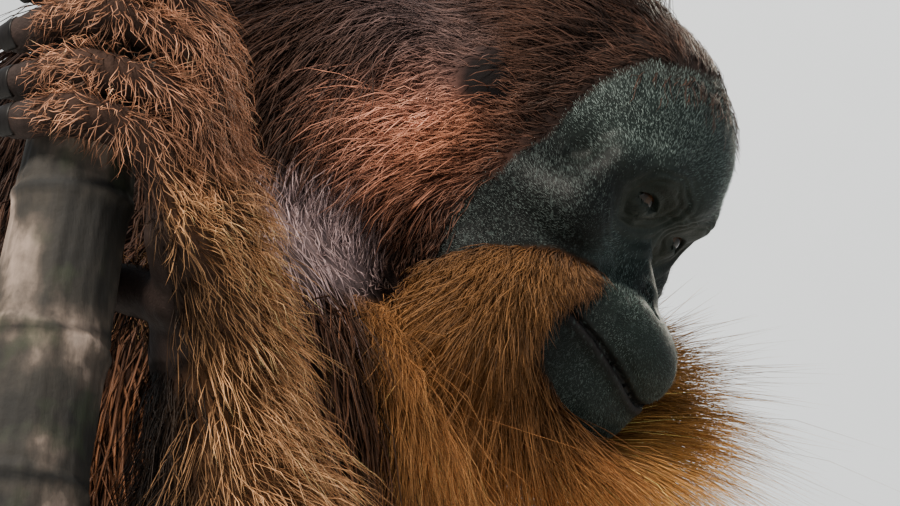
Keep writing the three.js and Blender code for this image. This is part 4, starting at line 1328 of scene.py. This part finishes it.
# Materials
class Surface:
    """A material in the making: its shader, and the textures that feed it."""

    def __init__(self, name):
        self.material = bpy.data.materials.new(name)
        self.material.use_nodes = True
        self.nodes = self.material.node_tree.nodes
        self.links = self.material.node_tree.links
        self.shader = self.nodes["Principled BSDF"]

    def give(self, socket, value):
        """A socket takes a link, a number or a colour."""
        if isinstance(value, bpy.types.NodeSocket):
            self.links.new(value, socket)
        elif isinstance(value, (int, float)):
            socket.default_value = value
        else:
            socket.default_value = (*value, 1)

    def feed(self, **values):
        for name, value in values.items():
            self.give(self.shader.inputs[name.replace("_", " ")], value)

    def noise(self, scale, detail=4.0, stretch=None):
        texture = self.nodes.new("ShaderNodeTexNoise")
        texture.inputs["Scale"].default_value = scale
        texture.inputs["Detail"].default_value = detail
        socket = self.nodes.new("ShaderNodeTexCoord").outputs["Object"]
        if stretch is not None:
            mapping = self.nodes.new("ShaderNodeMapping")
            mapping.inputs["Scale"].default_value = stretch
            self.links.new(socket, mapping.inputs["Vector"])
            socket = mapping.outputs["Vector"]
        self.links.new(socket, texture.inputs["Vector"])
        return texture.outputs["Fac"]

    def cells(self, scale):
        texture = self.nodes.new("ShaderNodeTexVoronoi")
        texture.feature = "DISTANCE_TO_EDGE"
        texture.inputs["Scale"].default_value = scale
        place = self.nodes.new("ShaderNodeTexCoord")
        self.links.new(place.outputs["Object"], texture.inputs["Vector"])
        return texture.outputs["Distance"]

    def ramp(self, source, stops):
        """A run of colours or greys over a value: pairs of place and colour."""
        node = self.nodes.new("ShaderNodeValToRGB")
        elements = node.color_ramp.elements
        for element, (place, tone) in zip(elements, (stops[0], stops[-1])):
            element.position = place
            element.color = (*np.broadcast_to(tone, 3), 1)
        for place, tone in stops[1:-1]:
            elements.new(place).color = (*np.broadcast_to(tone, 3), 1)
        self.links.new(source, node.inputs["Fac"])
        return node.outputs["Color"]

    def mixed(self, kind, factor, first, second):
        node = self.nodes.new("ShaderNodeMix")
        node.data_type = "RGBA"
        node.blend_type = kind
        for socket, value in ((node.inputs[0], factor), (node.inputs[6], first), (node.inputs[7], second)):
            self.give(socket, value)
        return node.outputs[2]

    def attribute(self, name):
        node = self.nodes.new("ShaderNodeAttribute")
        node.attribute_name = name
        return node.outputs["Color"]

    def add_bump(self, *layers):
        """Bump from several heights: source, strength and distance in metres."""
        normal = None
        for source, strength, distance in layers:
            node = self.nodes.new("ShaderNodeBump")
            node.inputs["Strength"].default_value = strength
            node.inputs["Distance"].default_value = distance
            self.links.new(source, node.inputs["Height"])
            if normal is not None:
                self.links.new(normal, node.inputs["Normal"])
            normal = node.outputs["Normal"]
        self.feed(Normal=normal)


def skin_material():
    made = Surface("bare_skin")
    blotch = made.ramp(made.noise(55), ((0.3, 0.72), (0.7, 1.25)))
    fine = made.ramp(made.noise(420, 6), ((0.3, 0.75), (0.7, 1.2)))
    colour = made.mixed("MULTIPLY", 1.0, made.attribute("marking_and_shade"), blotch)
    colour = made.mixed("MULTIPLY", 0.8, colour, fine)
    speck = made.ramp(made.noise(620, 2, (1, 1, 0.45)), ((0.58, 0.0), (0.70, 1.0)))
    speck = made.mixed("MULTIPLY", 1.0, speck, made.attribute("bristly"))
    rough = made.ramp(made.noise(160), ((0.3, 0.50), (0.7, 0.66)))
    made.feed(Base_Color=made.mixed("MIX", speck, colour, (0.030, 0.039, 0.036)),
              Roughness=made.mixed("MIX", made.attribute("shine"), (0.95, 0.95, 0.95), rough),
              Specular_IOR_Level=0.15)
    made.add_bump((made.cells(620), 0.35, 0.0006), (made.noise(260, 5), 0.35, 0.0010),
                  (made.noise(1300, 3), 0.30, 0.0004))
    return made.material


def coat_material(name, roughness):
    made = Surface(name)
    streak = made.ramp(made.noise(90), ((0.3, 0.75), (0.7, 1.3)))
    made.feed(Base_Color=made.mixed("MULTIPLY", 1.0, made.attribute("coat"), streak),
              Roughness=roughness, Specular_IOR_Level=0.2)
    return made.material


def eye_material():
    made = Surface("eye")
    made.feed(Base_Color=made.attribute("iris"), Roughness=0.24, Specular_IOR_Level=0.15,
              Coat_Weight=0.2, Coat_Roughness=0.03)
    return made.material


def nail_material():
    made = Surface("nail")
    streak = made.noise(500, 4, (1, 1, 0.2))
    colour = made.ramp(streak, ((0.3, (0.005, 0.004, 0.004)), (0.75, (0.018, 0.015, 0.014))))
    made.feed(Base_Color=colour, Roughness=0.45, Specular_IOR_Level=0.2)
    made.add_bump((streak, 0.3, 0.0004))
    return made.material


def bark_material():
    made = Surface("stem_bark")
    patches = made.noise(30, 8, (1, 1, 0.8))
    fibre = made.noise(26, 6, (6, 6, 1.1))
    flake = made.noise(140, 6)
    ground = made.ramp(patches, ((0.38, (0.010, 0.008, 0.006)), (0.50, (0.024, 0.019, 0.014)),
                                 (0.57, (0.070, 0.052, 0.040)), (0.66, (0.300, 0.220, 0.175))))
    lined = made.mixed("MULTIPLY", 0.8, ground, made.ramp(fibre, ((0.3, 0.5), (0.7, 1.3))))
    colour = made.mixed("MULTIPLY", 1.0, lined, made.attribute("bark"))
    moss = made.ramp(made.noise(45, 3), ((0.55, 0.0), (0.72, 0.6)))
    made.feed(Base_Color=made.mixed("MIX", moss, colour, (0.030, 0.040, 0.018)), Roughness=0.82)
    made.add_bump((fibre, 0.6, 0.0016), (flake, 0.5, 0.0012))
    return made.material


def base_material():
    made = Surface("stand_base")
    grain = made.noise(7, 6, (0.35, 5, 5))
    pores = made.noise(90, 4, (0.12, 4, 4))
    wood = made.ramp(grain, ((0.3, (0.075, 0.045, 0.028)), (0.5, (0.130, 0.080, 0.050)),
                             (0.7, (0.190, 0.120, 0.075))))
    shade = made.ramp(pores, ((0.35, 0.6), (0.6, 1.1)))
    made.feed(Base_Color=made.mixed("MULTIPLY", 0.7, wood, shade), Roughness=0.42)
    made.add_bump((pores, 0.15, 0.0006))
    return made.material


def rod_material():
    made = Surface("stand_rod")
    brushed = made.noise(200, 3, (1, 1, 0.03))
    made.feed(Base_Color=made.ramp(brushed, ((0.3, 0.30), (0.7, 0.42))),
              Roughness=made.ramp(brushed, ((0.3, 0.28), (0.7, 0.45))), Metallic=1.0)
    return made.material


def stage_material(name, colour):
    made = Surface(name)
    dim = tuple(0.97 * c for c in colour)
    made.feed(Base_Color=made.ramp(made.noise(3, 2), ((0.2, dim), (0.8, colour))), Roughness=0.9)
    return made.material


# Stage and light
def add_stage():
    """A pale floor and a backdrop, so far back that a camera behind the model stands before it."""
    half, bend, height, back, steps = 9.0, 1.2, 9.0, 17.0, 13
    turn = np.linspace(0, np.pi / 2, steps)
    depth = np.concatenate([[-half], back + bend * np.sin(turn), [back + bend]])
    rise = np.concatenate([[0], bend * (1 - np.cos(turn)), [height]])
    rows = len(depth)
    points = np.array([(x, depth[i], rise[i]) for i in range(rows) for x in (-half, half)]) / MM
    faces = np.array([(2 * i, 2 * i + 1, 2 * i + 3, 2 * i + 2) for i in range(rows - 1)])
    floor = bpy.data.objects.new("floor", new_mesh("floor", points, faces))
    bpy.context.scene.collection.objects.link(floor)
    floor.data.materials.append(stage_material("floor", (0.80, 0.80, 0.78)))


def area_light(name, place, target, size, power, colour):
    data = bpy.data.lights.new(name, "AREA")
    data.size = size
    data.energy = power
    data.color = colour
    light = bpy.data.objects.new(name, data)
    light.location = place
    light.rotation_euler = Vector(np.array(target) - np.array(place)).to_track_quat("-Z", "Y").to_euler()
    bpy.context.scene.collection.objects.link(light)


def add_lights():
    world = bpy.data.worlds.new("world")
    world.use_nodes = True
    world.node_tree.nodes["Background"].inputs["Color"].default_value = (0.80, 0.88, 0.95, 1)
    world.node_tree.nodes["Background"].inputs["Strength"].default_value = 0.45
    bpy.context.scene.world = world
    head = NASION * MM
    area_light("key", (-0.85, -1.2, 2.2), head, 0.45, 92, (1.0, 0.93, 0.82))
    area_light("rim", (1.1, 1.9, 1.6), head, 0.6, 30, (1.0, 0.94, 0.78))
    area_light("catch", (1.8, 0.35, 0.9), head, 0.28, 2.5, (0.95, 1.0, 0.97))
    area_light("fill", (1.6, -1.8, 0.4), head, 1.6, 8, (0.85, 0.95, 1.0))
    area_light("backdrop", (1.86, 9.85, 7.97), (1.86, 17.5, 2.85), 4.8, 1230, (1.0, 1.0, 1.0))


def dress(pieces, material):
    for piece in pieces:
        piece.data.materials.clear()
        piece.data.materials.append(material)


skin = make_skin()
mark_and_shade_skin(skin)
dress([skin], skin_material())
coat = make_coat(skin)
dress([piece for piece in coat if piece.name != "coat_face"], coat_material("coat", 0.5))
dress([coat[-1]], coat_material("bristle", 0.4))
dress([make_eye("right", -1), make_eye("left", 1)], eye_material())
dress(make_nails(), nail_material())
stem = make_stem()
stem_heights = (mesh_points(stem.data) - STEM_GRIP)[:, 2] + STEM_GRIP[2]
scar = sum(bump(stem_heights, node + 2, 2.0) for node in STEM_NODES)
pale = sum(bump(stem_heights, node - 3, 3.0) for node in STEM_NODES)
add_colours(stem.data, "bark", np.clip(1 - 0.75 * scar + 0.7 * pale, 0, 2)[:, None] * np.ones(3))
dress([stem], bark_material())
dress([make_rod()], rod_material())
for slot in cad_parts["stand_base"].material_slots:
    slot.material = base_material()
add_stage()
add_lights()
